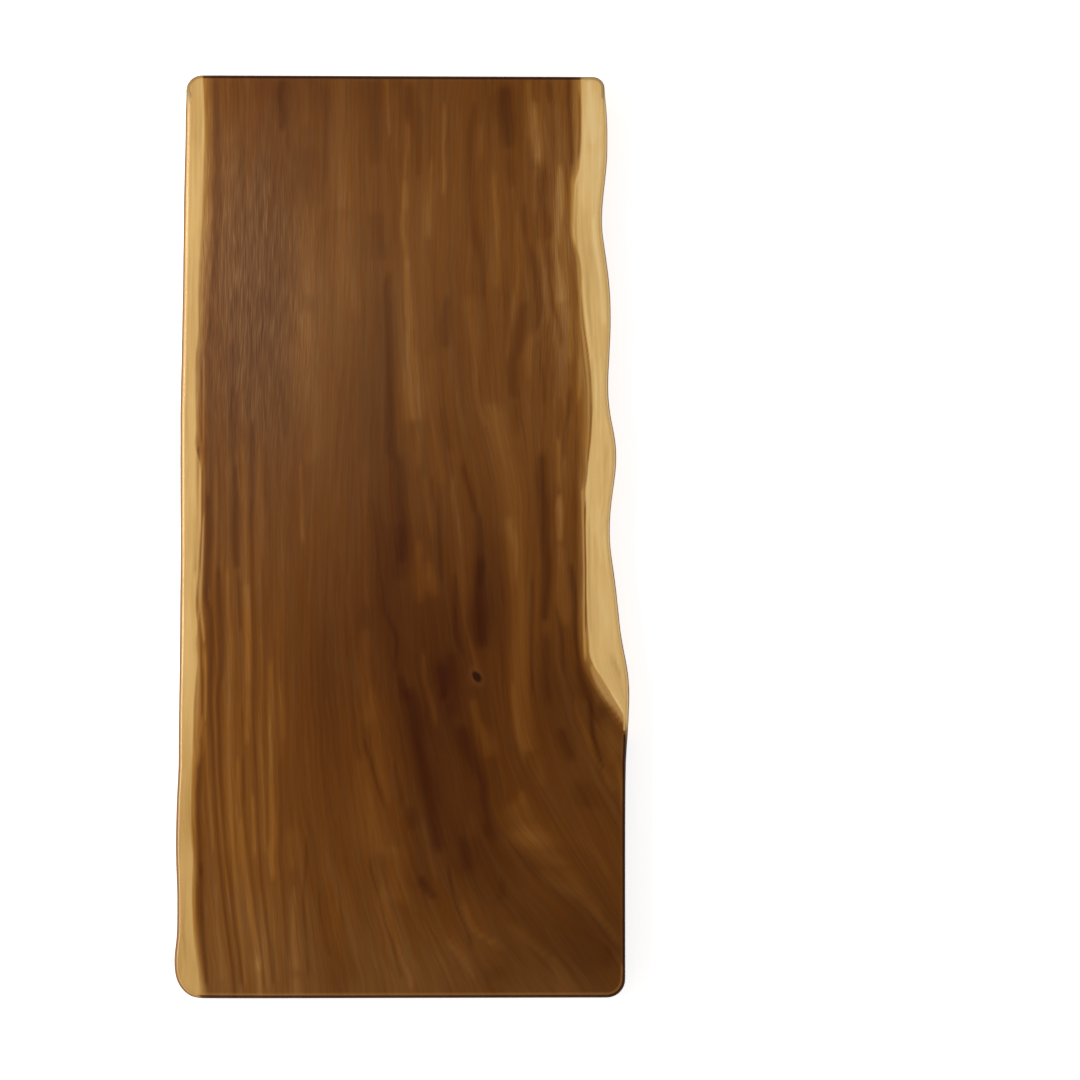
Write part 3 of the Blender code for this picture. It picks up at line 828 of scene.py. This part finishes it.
# %% Draw the ribbons of the right side
RIBBONS_RIGHT = [
    (-0.34, (226, 985, 24), (222, 950, 34), (226, 905, 36), (234, 830, 20)),
    (-0.16, (232, 840, 22), (240, 750, 24)),
    (0.30, (276, 1000, 13), (276, 960, 14), (280, 930, 24)),
    (0.52, (281, 950, 20), (288, 875, 28), (293, 835, 22), (292, 800, 14)),
    (0.22, (290, 810, 13), (286, 770, 9), (288, 720, 12), (288, 690, 10)),
    (-0.20, (318, 995, 20), (322, 930, 9)),
    (-0.26, (310, 810, 16), (308, 770, 22), (306, 730, 18), (312, 690, 26), (315, 655, 20), (310, 630, 12)),
    (-0.16, (314, 640, 16), (318, 600, 14), (320, 560, 10), (325, 520, 8)),
    (-0.24, (325, 540, 7), (328, 500, 8), (337, 475, 10), (344, 445, 11), (346, 405, 12)),
    (-0.32, (362, 1000, 8), (362, 930, 9), (366, 890, 10), (367, 795, 8)),
    (0.34, (343, 815, 10), (341, 730, 24), (336, 610, 9), (345, 535, 24), (346, 495, 20)),
    (0.14, (352, 510, 26), (366, 420, 30), (366, 370, 26)),
    (0.16, (250, 715, 7), (252, 620, 16), (253, 570, 12), (241, 490, 16), (226, 380, 8)),
    (-0.20, (267, 730, 14), (266, 690, 16), (277, 615, 12)),
    (-0.28, (275, 640, 10), (284, 600, 20), (297, 480, 12), (291, 440, 6)),
    (0.18, (296, 655, 9), (301, 610, 13), (308, 575, 13), (311, 535, 14), (316, 495, 10), (317, 455, 9)),
    (-0.24, (270, 520, 16), (256, 450, 34), (248, 400, 26), (244, 390, 18), (241, 350, 22), (243, 315, 24),
     (250, 290, 16)),
    (-0.10, (250, 300, 20), (248, 260, 22), (252, 210, 20)),
    (0.16, (282, 450, 18), (279, 410, 22), (275, 330, 10)),
    (-0.15, (297, 435, 7), (299, 390, 9), (306, 350, 14), (310, 280, 14)),
    (-0.14, (326, 430, 7), (330, 385, 22), (327, 340, 12), (324, 290, 10)),
    (-0.28, (366, 330, 12), (360, 270, 14), (354, 240, 11), (351, 160, 6)),
    (-0.18, (343, 310, 7), (342, 260, 16), (338, 205, 8)),
    (0.23, (185, 300, 24), (200, 270, 40), (206, 235, 44), (214, 200, 44), (214, 190, 40), (226, 155, 44),
     (232, 120, 46), (242, 40, 46)),
    (0.31, (238, 60, 46), (246, -20, 44), (248, -60, 40), (257, -140, 38), (258, -200, 42), (264, -400, 42),
     (270, -440, 40), (284, -475, 28)),
    (0.18, (234, 50, 9), (232, 25, 16), (240, 0, 22), (246, -40, 12), (246, -80, 9), (241, -105, 8)),
    (0.24, (240, -305, 7), (242, -350, 9), (248, -395, 11), (252, -430, 10), (262, -465, 10),
     (268, -490, 7)),
    (0.14, (288, -460, 24), (300, -500, 24), (306, -545, 20)),
    (-0.20, (283, -80, 6), (281, -220, 9), (283, -350, 7)),
    (0.12, (294, 30, 6), (293, -100, 9), (293, -240, 6)),
    (-0.40, (303, 190, 16), (304, 110, 24), (310, 70, 26), (310, 0, 20), (314, -50, 22), (310, -190, 16)),
    (-0.18, (312, -200, 22), (314, -310, 22), (320, -370, 16)),
    (0.22, (334, 230, 7), (340, 185, 12), (340, 140, 12), (341, 95, 10)),
    (0.55, (341, 100, 9), (342, 60, 16), (343, -20, 13)),
    (0.30, (343, -5, 14), (346, -60, 24), (348, -140, 32), (356, -200, 14)),
    (-0.18, (331, -140, 8), (345, -205, 9), (352, -300, 6)),
    (-0.36, (366, -50, 10), (372, -105, 16), (376, -150, 13), (376, -200, 11), (383, -270, 12),
     (390, -305, 20), (400, -335, 26), (408, -365, 18)),
    (-0.40, (408, -340, 14), (418, -445, 9), (441, -508, 7)),
    (-0.22, (424, -350, 34), (432, -380, 36), (424, -410, 24)),
    (0.20, (375, -345, 8), (380, -380, 9), (392, -408, 10), (402, -435, 15), (424, -490, 9), (440, -513, 9),
     (452, -540, 16), (466, -560, 14)),
    (0.20, (440, -410, 24), (452, -440, 28), (458, -470, 28), (456, -500, 30)),
    (0.30, (464, -480, 12), (477, -540, 10), (479, -590, 5)),
    (-0.26, (346, -405, 18), (350, -435, 26), (362, -465, 26), (368, -495, 16)),
    (-0.14, (384, -520, 34), (396, -560, 60), (412, -600, 50)),
    (0.26, (258, -540, 12), (262, -565, 24), (254, -590, 70), (266, -620, 96), (284, -650, 116),
     (308, -680, 96)),
    (0.26, (268, -620, 50), (280, -650, 80), (304, -680, 80), (334, -705, 54), (352, -725, 36)),
    (0.19, (346, -710, 42), (396, -778, 26), (414, -800, 34), (430, -828, 20), (450, -850, 13),
     (478, -890, 10)),
    (0.14, (306, -715, 30), (326, -745, 40), (352, -760, 56), (380, -790, 26)),
    (0.10, (372, -630, 20), (392, -660, 26), (416, -682, 18), (452, -750, 9)),
    (0.20, (240, -830, 40), (262, -862, 30), (308, -902, 22), (322, -912, 22), (338, -940, 32),
     (350, -965, 36), (360, -1005, 36)),
    (-0.12, (440, -870, 30), (450, -905, 30), (440, -940, 24)),
    (-0.08, (200, -920, 40), (210, -970, 50)),
]

# %% Draw the ribbons beside the edges
RIBBONS_EDGES = [
    (0.25, (407, 1000, 20), (415, 880, 22), (414, 850, 16)),
    (0.10, (404, 840, 24), (406, 796, 30), (400, 736, 20), (397, 690, 16)),
    (0.22, (437, 855, 6), (437, 826, 8), (433, 795, 6)),
    (0.50, (414, 700, 6), (417, 645, 9), (433, 554, 8), (440, 450, 8)),
    (-0.12, (401, 640, 14), (404, 600, 12), (404, 493, 8), (410, 463, 8), (424, 370, 8)),
    (0.30, (393, 570, 5), (398, 490, 5), (406, 432, 6), (412, 372, 6)),
    (0.14, (431, 395, 6), (440, 311, 8), (446, 220, 8)),
    (0.12, (428, 265, 12), (427, 190, 12), (420, 150, 16)),
    (-0.30, (441, 210, 7), (444, 190, 8), (442, 160, 7), (441, 129, 6), (437, 99, 6), (438, 0, 5)),
    (0.22, (456, 175, 6), (457, 129, 6), (450, 99, 6), (443, 8, 6), (462, -160, 7), (467, -230, 8)),
    (-0.10, (410, 120, 8), (414, 55, 7)),
    (0.20, (428, 80, 8), (431, -65, 6)),
    (-0.14, (418, 15, 8), (420, -90, 6)),
    (-0.30, (405, 50, 4), (408, -160, 5), (411, -215, 5)),
    (-0.46, (454, -250, 8), (459, -270, 9), (468, -290, 9), (475, -315, 7)),
    (-0.40, (380, 775, 4), (378, 645, 5), (381, 605, 5)),
    (-0.30, (384, 970, 4), (386, 900, 5), (382, 810, 4)),
    (0.20, (382, 600, 8), (386, 523, 8), (389, 463, 8), (397, 410, 6), (405, 230, 4), (399, 150, 4)),
    (0.22, (384, 400, 8), (385, 341, 12), (381, 280, 6)),
    (-0.32, (388, 530, 4), (394, 463, 4), (406, 372, 4), (409, 230, 5), (402, 155, 5)),
    (0.60, (391, 115, 5), (395, -60, 4), (395, -203, 5), (398, -275, 6)),
    (-0.50, (397, 80, 4), (399, -210, 3)),
    (-0.62, (-441, 205, 5), (-446, -90, 5)),
    (0.75, (408, -272, 6), (417, -290, 12), (430, -321, 18), (441, -338, 18), (455, -355, 20),
     (468, -375, 17), (476, -390, 13), (482, -408, 8)),
    (-0.26, (-433, 420, 4), (-433, 199, 5)),
    (0.24, (-428, 400, 5), (-429, 185, 5)),
    (-0.32, (-432, 160, 4), (-432, 43, 4), (-438, -90, 5), (-440, -151, 6), (-434, -220, 5),
     (-434, -268, 5), (-432, -307, 5), (-432, -400, 5)),
    (0.10, (-452, 860, 12), (-454, 640, 12)),
    (0.06, (-462, -150, 10), (-466, -307, 14), (-468, -380, 10)),
]

# %% Lay the ribbons over the clouds
RIBBONS = RIBBONS_LEFT + RIBBONS_MIDDLE + RIBBONS_RIGHT + RIBBONS_EDGES
# A ribbon fades out over this many mm at each end, and shows at this share of its strength.
RIBBON_END = 22.0
RIBBON_STRENGTH = 0.78
# However many ribbons cross at a point, they darken or lighten it by no more than these shares.
DARKEST = 0.42
LIGHTEST = 0.60
# By what share the ribbons are weaker on the underside than on top.
FADE_WITH_DEPTH = 0.4


def ribbons(x, y):
    """The sum of all ribbons at these points."""
    total = np.zeros_like(x)
    for shade, *way in RIBBONS:
        way_x, way_y, widths = np.array(way, float)[::-1].T
        beside = (y > way_y[0]) & (y < way_y[-1])
        length = y[beside]
        from_middle = x[beside] - smooth_through(length, way_y, way_x)
        half_width = np.interp(length, way_y, widths) / 2
        from_end = np.minimum(length - way_y[0], way_y[-1] - length)
        rise = np.clip(from_end / RIBBON_END, 0, 1)
        strength = RIBBON_STRENGTH * shade * rise * rise * (3 - 2 * rise)
        total[beside] += strength * np.exp(-((from_middle / half_width) ** 2))
    return total


figure = ribbons(ring_x, y) * (1 - FADE_WITH_DEPTH * depth / (1000 * thickness))
figure = np.where(figure < 0, DARKEST * np.tanh(figure / DARKEST), LIGHTEST * np.tanh(figure / LIGHTEST))
sap_lightness = SAPWOOD_LIGHTNESS * (1 + clouds(SAP_CLOUDS, ring_x, y) + figure)
ripe_lightness = WOOD_LIGHTNESS + AMBER_LIFT * (1 - ripeness)
lightness = ripe_lightness * (1 + clouds(HEART_CLOUDS, ring_x, y) + figure)
open_grain_and_sheen = np.clip(clouds(OPEN_GRAIN_AND_SHEEN_CLOUDS, ring_x, y), 0, 1)
warmth = clouds(WARM_CLOUDS, ring_x, y)
print("ribbons:", len(RIBBONS), "make lightness", lightness.min().round(2), "to", lightness.max().round(2))

# %% [markdown]
# ## Marks of the saw, painted shade and a painted highlight
#
# Oil soaks deep into sawn end grain and turns it almost black-brown, and the eased arris of each
# sawn edge shows it as a thin dark outline, which painted shade makes deeper. Just inside, where
# the face tips over into the arris, a painted highlight lies on it: plainly at the bottom end, and
# only faintly elsewhere. Painting such marks by hand takes long and has to be done again when the
# shape changes. So all of it is worked out from the mesh: which points belong to a sawn edge, how
# far a point of the face is from one, and along which side of the plank it lies.

# %% Mark the sawn edges and the rim of painted highlight
# Distances from an edge are kept up to this many mm.
FAR_FROM_EDGE = 30.0
# How strong the painted highlight just inside the sawn rim is at the bottom end, the top end and the sides.
HIGHLIGHT_AT_BOTTOM = 1.0
HIGHLIGHT_AT_TOP = 0.1
HIGHLIGHT_AT_SIDE = 0.2
# The two ends begin this many mm from the middle of the plank.
END_ZONE = 930

top_count = top_grid.size
edge_count = len(rays) * (len(rings) - 1)
sawn = np.zeros(len(points))
bark_side = np.zeros(len(points))
sawn[top_count : top_count + edge_count] = np.tile(1 - natural, len(rings) - 1)
bark_side[top_count : top_count + edge_count] = np.tile(natural, len(rings) - 1)


def distance_from(rim):
    """How far each point of the top lies from these points of its rim, in mm."""
    tree = kdtree.KDTree(len(rim))
    for number, rim_point in enumerate(rim):
        tree.insert(rim_point, number)
    tree.balance()
    distance = np.full(len(points), FAR_FROM_EDGE)
    distance[:top_count] = [1000 * tree.find(point)[2] for point in points[:top_count]]
    return np.minimum(distance, FAR_FROM_EDGE)


from_rim = distance_from(rings[0][natural < 0.5])
from_bark = distance_from(rings[0][natural >= 0.5])
end_zones = [y < -END_ZONE, y > END_ZONE]
rim_highlight_strength = np.select(end_zones, [HIGHLIGHT_AT_BOTTOM, HIGHLIGHT_AT_TOP], HIGHLIGHT_AT_SIDE)
print("top points near the sawn rim:", int((from_rim < FAR_FROM_EDGE).sum()))

# %% [markdown]
# ## What the mesh hands to the material
#
# A mesh can keep any number for each of its points, and a material can read it back. That is how
# the two share the work here: the mesh knows where the wood grew, and the material knows what such
# wood looks like.

# %% Store it all on the mesh
# Further than this many mm from the end of the sapwood, the look no longer depends on it.
FURTHEST_KEPT = 50

grain = plank_mesh.attributes.new("grain", "FLOAT_VECTOR", "POINT")
grain.data.foreach_set("vector", np.stack([across, y, z], axis=-1).astype(np.float32).ravel())
per_point = {
    "past_sapwood": np.clip(past_sapwood, -FURTHEST_KEPT, FURTHEST_KEPT),
    "lightness": lightness,
    "sap_lightness": sap_lightness,
    "open_grain_and_sheen": open_grain_and_sheen,
    "warmth": warmth,
    "sawn": sawn,
    "bark_side": bark_side,
    "from_rim": from_rim,
    "from_bark": from_bark,
    "rim_highlight_strength": rim_highlight_strength,
}
for name, values in per_point.items():
    kept = plank_mesh.attributes.new(name, "FLOAT", "POINT")
    kept.data.foreach_set("value", np.asarray(values, np.float32))
print("kept for each point: grain,", ", ".join(per_point))

# %% [markdown]
# ## Oiled suar
#
# Suar is a coarse open-grained hardwood. Its pores are a third of a millimetre wide and several
# millimetres long on a face cut along the trunk. It was planed, sanded and rubbed with hard oil,
# which gives a satin surface: soft reflections, and colours as deep as wet wood.
#
# All its fine patterns are noises drawn out along the grain. They are drawn in the place that the
# mesh keeps, where the rings of the trunk run straight, so on the plank they bend with the figure
# by themselves. A slow waver keeps them from looking combed.

# %% Start the material
WAVER_SCALE = 0.012
WAVER_MM = 9.0

oiled_suar = bpy.data.materials.new("oiled_suar")
oiled_suar.use_nodes = True
wood = oiled_suar.node_tree
shader = wood.nodes["Principled BSDF"]
stored = {name: add(wood, "Attribute", attribute_name=name).outputs["Fac"] for name in per_point}

straight_place = add(wood, "Attribute", attribute_name="grain").outputs["Vector"]
slow_noise = {"Vector": straight_place, "Scale": WAVER_SCALE, "Detail": 2.0}
slow_colours = add(wood, "TexNoise", slow_noise).outputs["Color"]
waver = add(wood, "VectorMath", [slow_colours, (0.5, 0.5, 0.5)], operation="SUBTRACT")
waver_across = add(wood, "VectorMath", [waver, (WAVER_MM, 0.0, 0.0)], operation="MULTIPLY")
grain_place = add(wood, "VectorMath", [straight_place, waver_across], operation="ADD")


def grain_noise(width, length, detail=3.0):
    """A pattern whose marks are about this wide and long, in millimetres, along the grain."""
    fineness = (1 / width, 1 / length, 1 / width)
    drawn_out = add(wood, "VectorMath", [grain_place, fineness], operation="MULTIPLY")
    pattern = {"Vector": drawn_out, "Scale": 1.0, "Detail": detail, "Roughness": 0.55}
    return add(wood, "TexNoise", pattern)


def swung(value, pattern, swing):
    """Lets a value swing to both sides of itself with a pattern, whose middle is a half."""
    centred = add(wood, "Math", [pattern, 0.5], operation="SUBTRACT")
    return add(wood, "Math", [centred, swing, value], operation="MULTIPLY_ADD")


print("numbers read from the mesh:", len(stored))

# %% [markdown]
# ## Streaks in the heartwood
#
# Between the ribbons lie hundreds of finer streaks, from bands as wide as a finger down to hairs.
# Nobody could tell one from the next, so they need no places of their own, and four noises draw
# them. What comes out is a lightness. A colour ramp turns it into the browns of this wood, from
# almost black to amber. They are a little lighter than they look in the picture, because the soft
# light of the tent doesn't give all of a colour back.

# %% Give the heartwood its streaks
bands = grain_noise(width=14, length=420, detail=2.0)
threads = grain_noise(width=4.5, length=190)
hairs = grain_noise(width=2.2, length=60, detail=2.0)
# These stand for the open pores, which are finer than a pixel, so they are drawn this coarse.
specks = grain_noise(width=2.8, length=60, detail=1.0)
specks_centred = add(wood, "Math", [specks, 0.5], operation="SUBTRACT")
open_specks = add(wood, "Math", [specks_centred, stored["open_grain_and_sheen"], 0.5], operation="MULTIPLY_ADD")

unevenness = 1.0
for pattern, swing in ((bands, 0.26), (threads, 0.22), (hairs, 0.18), (open_specks, 1.04)):
    unevenness = swung(unevenness, pattern, swing)
heart_lightness = add(wood, "Math", [stored["lightness"], unevenness], operation="MULTIPLY")
heart_browns = add(wood, "ValToRGB", [heart_lightness])
HEART_STOPS = [
    (0.10, "#341303"),
    (0.21, "#431b05"),
    (0.31, "#4f280a"),
    (0.41, "#613712"),
    (0.51, "#73461c"),
    (0.61, "#845527"),
    (0.74, "#9d6d3b"),
    (0.89, "#ba8e56"),
    (1.00, "#cc9c60"),
]
set_stops(heart_browns, HEART_STOPS)
print("browns of the heartwood:", len(HEART_STOPS))

# %% [markdown]
# ## Redder here, more olive there
#
# The browns of a plank also differ in hue, by a hand's breadth and from streak to streak. Darker
# and lighter alone would look like a stain on one plain board. Multiplying a brown by a pale
# yellow takes blue out of it and leaves the red, so the share of that yellow is the redness.
# Where the grain is open, the wood gets a grey wash and short pale dashes: painted sheen and painted glints
# over the open pores.

# %% Turn the brown redder here and more olive there, and paint sheen over the open grain
USUAL_REDNESS = 0.58
HUE_SWING = 2.6
# How strong the painted sheen, a grey wash, and the painted glints, short pale dashes, are on open grain.
SHEEN_GREY = 0.09
PAINTED_GLINTS = 0.22

hues = grain_noise(width=11, length=170)
warmth_here = swung(stored["warmth"], hues, HUE_SWING)
redness = add(wood, "Math", [warmth_here, USUAL_REDNESS], operation="ADD")
warming = {0: redness, 6: heart_browns, 7: linear("#ffeeb3")}
redder = add(wood, "Mix", warming, blend_type="MULTIPLY", **COLOURS)
# Painted sheen and glints: the open grain is washed grey and dotted with pale dashes.
sheen_share = add(wood, "Math", [stored["open_grain_and_sheen"], SHEEN_GREY], operation="MULTIPLY")
sheened = add(wood, "Mix", {0: sheen_share, 6: redder, 7: linear("#7d6a62")}, **COLOURS)
glints = add(wood, "MapRange", [specks, 0.55, 0.68, 0.0, PAINTED_GLINTS], **SMOOTH)
open_grain_glints = add(wood, "Math", [glints, stored["open_grain_and_sheen"]], operation="MULTIPLY")
heartwood = add(wood, "Mix", {0: open_grain_glints, 6: sheened, 7: linear("#8a7256")}, **COLOURS)
print("usual redness:", USUAL_REDNESS)

# %% [markdown]
# ## Pale sapwood
#
# Sapwood is straw-coloured, with lines and patches much weaker than the streaks beside it. It is
# made in the same way from fewer noises and paler stops. Where it meets the heartwood, the ring
# itself is a little frayed, so the finest noise moves the line by a millimetre or two.

# %% Give the sapwood its paler lines
sap_lines = grain_noise(width=6, length=260)
sap_patches = grain_noise(width=22, length=160, detail=2.0)
sap_unevenness = swung(swung(1.0, sap_lines, 0.36), sap_patches, 0.32)
sap_here = add(wood, "Math", [stored["sap_lightness"], sap_unevenness], operation="MULTIPLY")
sapwood = add(wood, "ValToRGB", [sap_here])
SAP_STOPS = [
    (0.30, "#7f5522"),
    (0.45, "#ab7b3c"),
    (0.60, "#d1a45f"),
    (0.72, "#e4b871"),
    (0.88, "#f8cc84"),
    (1.00, "#ffdb97"),
]
set_stops(sapwood, SAP_STOPS)
print("straw colours of the sapwood:", len(SAP_STOPS))

# %% Let the two meet along one ring
FRAYED_MM = 4.0
HALF_MEETING_MM = 2.2

meeting = swung(stored["past_sapwood"], hairs, FRAYED_MM)
heart_share = add(wood, "MapRange", [meeting, -HALF_MEETING_MM, HALF_MEETING_MM], **SMOOTH)
face = add(wood, "Mix", {0: heart_share, 6: sapwood, 7: heartwood}, **COLOURS)
print("sapwood turns to heartwood within", 2 * HALF_MEETING_MM, "mm")

# %% [markdown]
# ## The skin of the natural edge
#
# Taking off the bark leaves a thin brown skin, and the sander takes that off again where it
# reaches: on the face and round the top of the roll. So from above it shows as a fine brown line
# along the very edge. How deep it starts differs: it creeps up on the lower left side, and stays
# down on the right one. The material works with real depths in millimetres, because the skin is
# the same on a plank of any size.

# %% Give the natural edge its brown skin
SKIN_STARTS_MM = 1.8
SKIN_FULL_MM = 4.6
SKIN_CREEP_MM = 2.0
SKIN_COVER = 0.9
# Places on the plank in mm: the look of its left side turns into that of its right side across the
# first of these, and the creep of the skin fades out up the second.
SIDES_PART = (-100, 100)
CREEP_FADES = (-800, 300)

spot = add(wood, "SeparateXYZ", [straight_place]).outputs
left_side = add(wood, "MapRange", [spot["X"], *SIDES_PART, 1.0, 0.0], **SMOOTH)
right_side = add(wood, "Math", [1.0, left_side], operation="SUBTRACT")
low_down = add(wood, "MapRange", [spot["Y"], *CREEP_FADES, SKIN_CREEP_MM, 0.0], **SMOOTH)
left_creep = add(wood, "Math", [low_down, left_side], operation="MULTIPLY")
skin_creep = add(wood, "Math", [right_side, -1.0, left_creep], operation="MULTIPLY_ADD")
edge_depth = add(wood, "Math", [1000 * thickness, spot["Z"]], operation="SUBTRACT")
skin_depth = add(wood, "Math", [edge_depth, skin_creep], operation="ADD")
deep_enough = add(wood, "MapRange", [skin_depth, SKIN_STARTS_MM, SKIN_FULL_MM], **SMOOTH)
skin_share = add(wood, "Math", [deep_enough, stored["bark_side"]], operation="MULTIPLY")
brown_share = add(wood, "Math", [skin_share, SKIN_COVER], operation="MULTIPLY")
face = add(wood, "Mix", {0: brown_share, 6: face, 7: linear("#6a4119")}, **COLOURS)
print("skin starts", SKIN_STARTS_MM, "mm down the edge")

# %% Tone the sapwood beside the skin, and paint light along the right edge
# Full at the first of these distances from the edge or from the top, and gone at the second.
NEAR_BARK_MM = (1.0, 6.0)
ROLL_TOP_MM = (1.0, 5.0)
LEFT_DARKENING = 0.16
# How strong the painted light along the right natural edge is.
RIGHT_PAINTED_LIGHT = 0.80

# On the left the last millimetres of the face are made a little darker.
near_bark = add(wood, "MapRange", [stored["from_bark"], *NEAR_BARK_MM, 1.0, 0.0], **SMOOTH)
left_darkening = add(wood, "Math", [left_side, LEFT_DARKENING], operation="MULTIPLY")
darkened_near_bark = add(wood, "Math", [near_bark, left_darkening], operation="MULTIPLY")
face = add(wood, "Mix", {0: darkened_near_bark, 6: face, 7: linear("#9a6a30")}, **COLOURS)
# On the right they get painted light, on the face and round the roll, which faces away from the left lamp.
roll_top = add(wood, "MapRange", [edge_depth, *ROLL_TOP_MM, 1.0, 0.0], **SMOOTH)
on_roll = add(wood, "Math", [roll_top, stored["bark_side"]], operation="MULTIPLY")
beside_edge = add(wood, "Math", [near_bark, on_roll], operation="ADD")
right_painted_light = add(wood, "Math", [beside_edge, right_side], operation="MULTIPLY")
right_painted_light_share = add(wood, "Math", [right_painted_light, RIGHT_PAINTED_LIGHT], operation="MULTIPLY")
face = add(wood, "Mix", {0: right_painted_light_share, 6: face, 7: linear("#ffd083")}, **COLOURS)
print("toned within", NEAR_BARK_MM[1], "mm of the natural edge")

# %% [markdown]
# ## Sawn edges
#
# The mesh says where the wood was sawn and where the face nears such an edge. Sapwood was pale to
# begin with, so under the oil its end grain stays lighter than the heartwood's, and the painted shade
# of the arris with it. A painted highlight lies just inside the arris.

# %% Darken the sawn edges with their end grain and painted shade, and paint a highlight inside the rim
# How dark the sawn edges of heartwood turn, from oiled end grain and painted shade together, and what share
# of that the sapwood reaches.
END_DARKNESS = 0.88
SAPWOOD_SHARE = 0.75
# The painted shade on the face along the arris: where it lies in mm, and how strong it is on sapwood and on
# heartwood.
ARRIS_SHADE_MM = (1.5, 5.0)
ARRIS_SHADE_ON_SAPWOOD = 0.40
ARRIS_SHADE_ON_HEARTWOOD = 0.92
# Where the painted highlight inside the rim lies in mm, and how strong it is.
HIGHLIGHT_MM = (4.0, 11.0)
HIGHLIGHT_SHARE = 0.26

# Sawn edges: the darkness of oiled end grain and painted shade, laid on as one colour.
end_look = [heart_share, 1 - SAPWOOD_SHARE, SAPWOOD_SHARE]
end_grain_and_shade_strength = add(wood, "Math", end_look, operation="MULTIPLY_ADD")
end_grain_and_shade_share = add(wood, "Math", [end_grain_and_shade_strength, END_DARKNESS], operation="MULTIPLY")
end_grain_and_shade = add(wood, "Mix", {0: end_grain_and_shade_share, 6: face, 7: linear("#2a0d05")}, **COLOURS)
face = add(wood, "Mix", {0: stored["sawn"], 6: face, 7: end_grain_and_shade}, **COLOURS)

from_rim_here = stored["from_rim"]
# Painted highlight: the face just inside the sawn rim is laid lighter.
highlight_zone = add(wood, "MapRange", [from_rim_here, *HIGHLIGHT_MM, HIGHLIGHT_SHARE, 0.0], **SMOOTH)
painted_highlight = add(wood, "Math", [highlight_zone, stored["rim_highlight_strength"]], operation="MULTIPLY")
face = add(wood, "Mix", {0: painted_highlight, 6: face, 7: linear("#d79a58")}, **COLOURS)

# Painted shade: a thin dark outline on the face along the sawn arris.
arris_shade_look = [heart_share, ARRIS_SHADE_ON_HEARTWOOD - ARRIS_SHADE_ON_SAPWOOD, ARRIS_SHADE_ON_SAPWOOD]
arris_shade_strength = add(wood, "Math", arris_shade_look, operation="MULTIPLY_ADD")
arris_shade_zone = add(wood, "MapRange", [from_rim_here, *ARRIS_SHADE_MM, 1.0, 0.0], **SMOOTH)
arris_shade_share = add(wood, "Math", [arris_shade_zone, arris_shade_strength], operation="MULTIPLY")
face = add(wood, "Mix", {0: arris_shade_share, 6: face, 7: linear("#2c0f06")}, **COLOURS)
print("arris ends", ARRIS_SHADE_MM[1], "mm in, rubbed rim", HIGHLIGHT_MM[1], "mm in")

# %% [markdown]
# ## The knot
#
# One small branch died in the tree, and its stub is the only knot. It is sound and sanded flush,
# so it is colour and no hole: an oval, dark in the middle, in a halo of redder wood. A mapping
# node turns the plank's own place into that of the knot, where its rim is at a distance of 1.

# %% Put in the knot
KNOT_PLACE = (0.1626, -0.3027, 0.0)
KNOT_HALVES = (0.0092, 0.0150, 1.0)
KNOT_LEAN_DEGREES = 34.0
KNOT_FRAYING = 0.5
# Where halo and dark heart begin to fade and are gone, and how strong they are.
HALO = (1.0, 2.2, 0.22)
DARK_HEART = (0.55, 1.25, 0.92)

knot_frame = {
    "Vector": add(wood, "TexCoord").outputs["Object"],
    "Location": KNOT_PLACE,
    "Rotation": (0, 0, math.radians(KNOT_LEAN_DEGREES)),
    "Scale": KNOT_HALVES,
}
knot_place = add(wood, "Mapping", knot_frame, vector_type="TEXTURE")
from_knot = add(wood, "VectorMath", [knot_place], operation="LENGTH").outputs["Value"]
ragged = swung(from_knot, hairs, KNOT_FRAYING)
halo = add(wood, "MapRange", [ragged, *HALO, 0.0], **SMOOTH)
face = add(wood, "Mix", {0: halo, 6: face, 7: linear("#84502c")}, **COLOURS)
heart_of_knot = add(wood, "MapRange", [ragged, *DARK_HEART, 0.0], **SMOOTH)
face = add(wood, "Mix", {0: heart_of_knot, 6: face, 7: linear("#2c0c00")}, **COLOURS)
fill(shader, {"Base Color": face})
print("knot in mm:", [round(2000 * half_size, 1) for half_size in KNOT_HALVES[:2]])

# %% [markdown]
# ## A satin surface
#
# Hard oil on sanded wood lies between matt and gloss. Its roughness is about a third, and changes
# a little from thread to thread. The rolled edge, polished by hand, is smoother, and the skin is
# rougher. The oil sinks in and leaves hardly any film, so it mirrors less than a varnish would, and
# the specular level is under its default.
# The pores are pressed in by bump, because holes of a third of a millimetre need no geometry.

# %% Make the surface satin
PORE_DEPTH = 0.0003
PORE_STRENGTH = 0.25
PORE_EDGE = (0.56, 0.74)
SATIN = (0.32, 0.38)
SMOOTHER_ON_ROLL = 0.15
ROUGHER_ON_SKIN = 0.45
OIL_SPECULAR = 0.34

# The real pores are finer than a pixel, so these are drawn five times as wide.
pores = grain_noise(width=1.6, length=14, detail=1.0)
pore_height = add(wood, "MapRange", [pores, *PORE_EDGE, 1.0, 0.0], **SMOOTH)
pressing = {"Height": pore_height, "Strength": PORE_STRENGTH, "Distance": PORE_DEPTH}
relief = add(wood, "Bump", pressing)
satin = add(wood, "MapRange", [threads, 0.3, 0.7, *SATIN], **SMOOTH)
on_the_roll = [stored["bark_side"], -SMOOTHER_ON_ROLL, satin]
satin_on_roll = add(wood, "Math", on_the_roll, operation="MULTIPLY_ADD")
on_the_skin = [skin_share, ROUGHER_ON_SKIN, satin_on_roll]
satin_on_skin = add(wood, "Math", on_the_skin, operation="MULTIPLY_ADD")
fill(shader, {"Roughness": satin_on_skin, "Specular IOR Level": OIL_SPECULAR, "Normal": relief})
plank_mesh.materials.append(oiled_suar)
print("material nodes:", len(wood.nodes))

# %% [markdown]
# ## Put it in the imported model's place
#
# The skin stands for the solid `slab`, which stays in the physics model for weight and contact.

# %% Hand the plank over
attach(plank, "root")
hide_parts("slab")
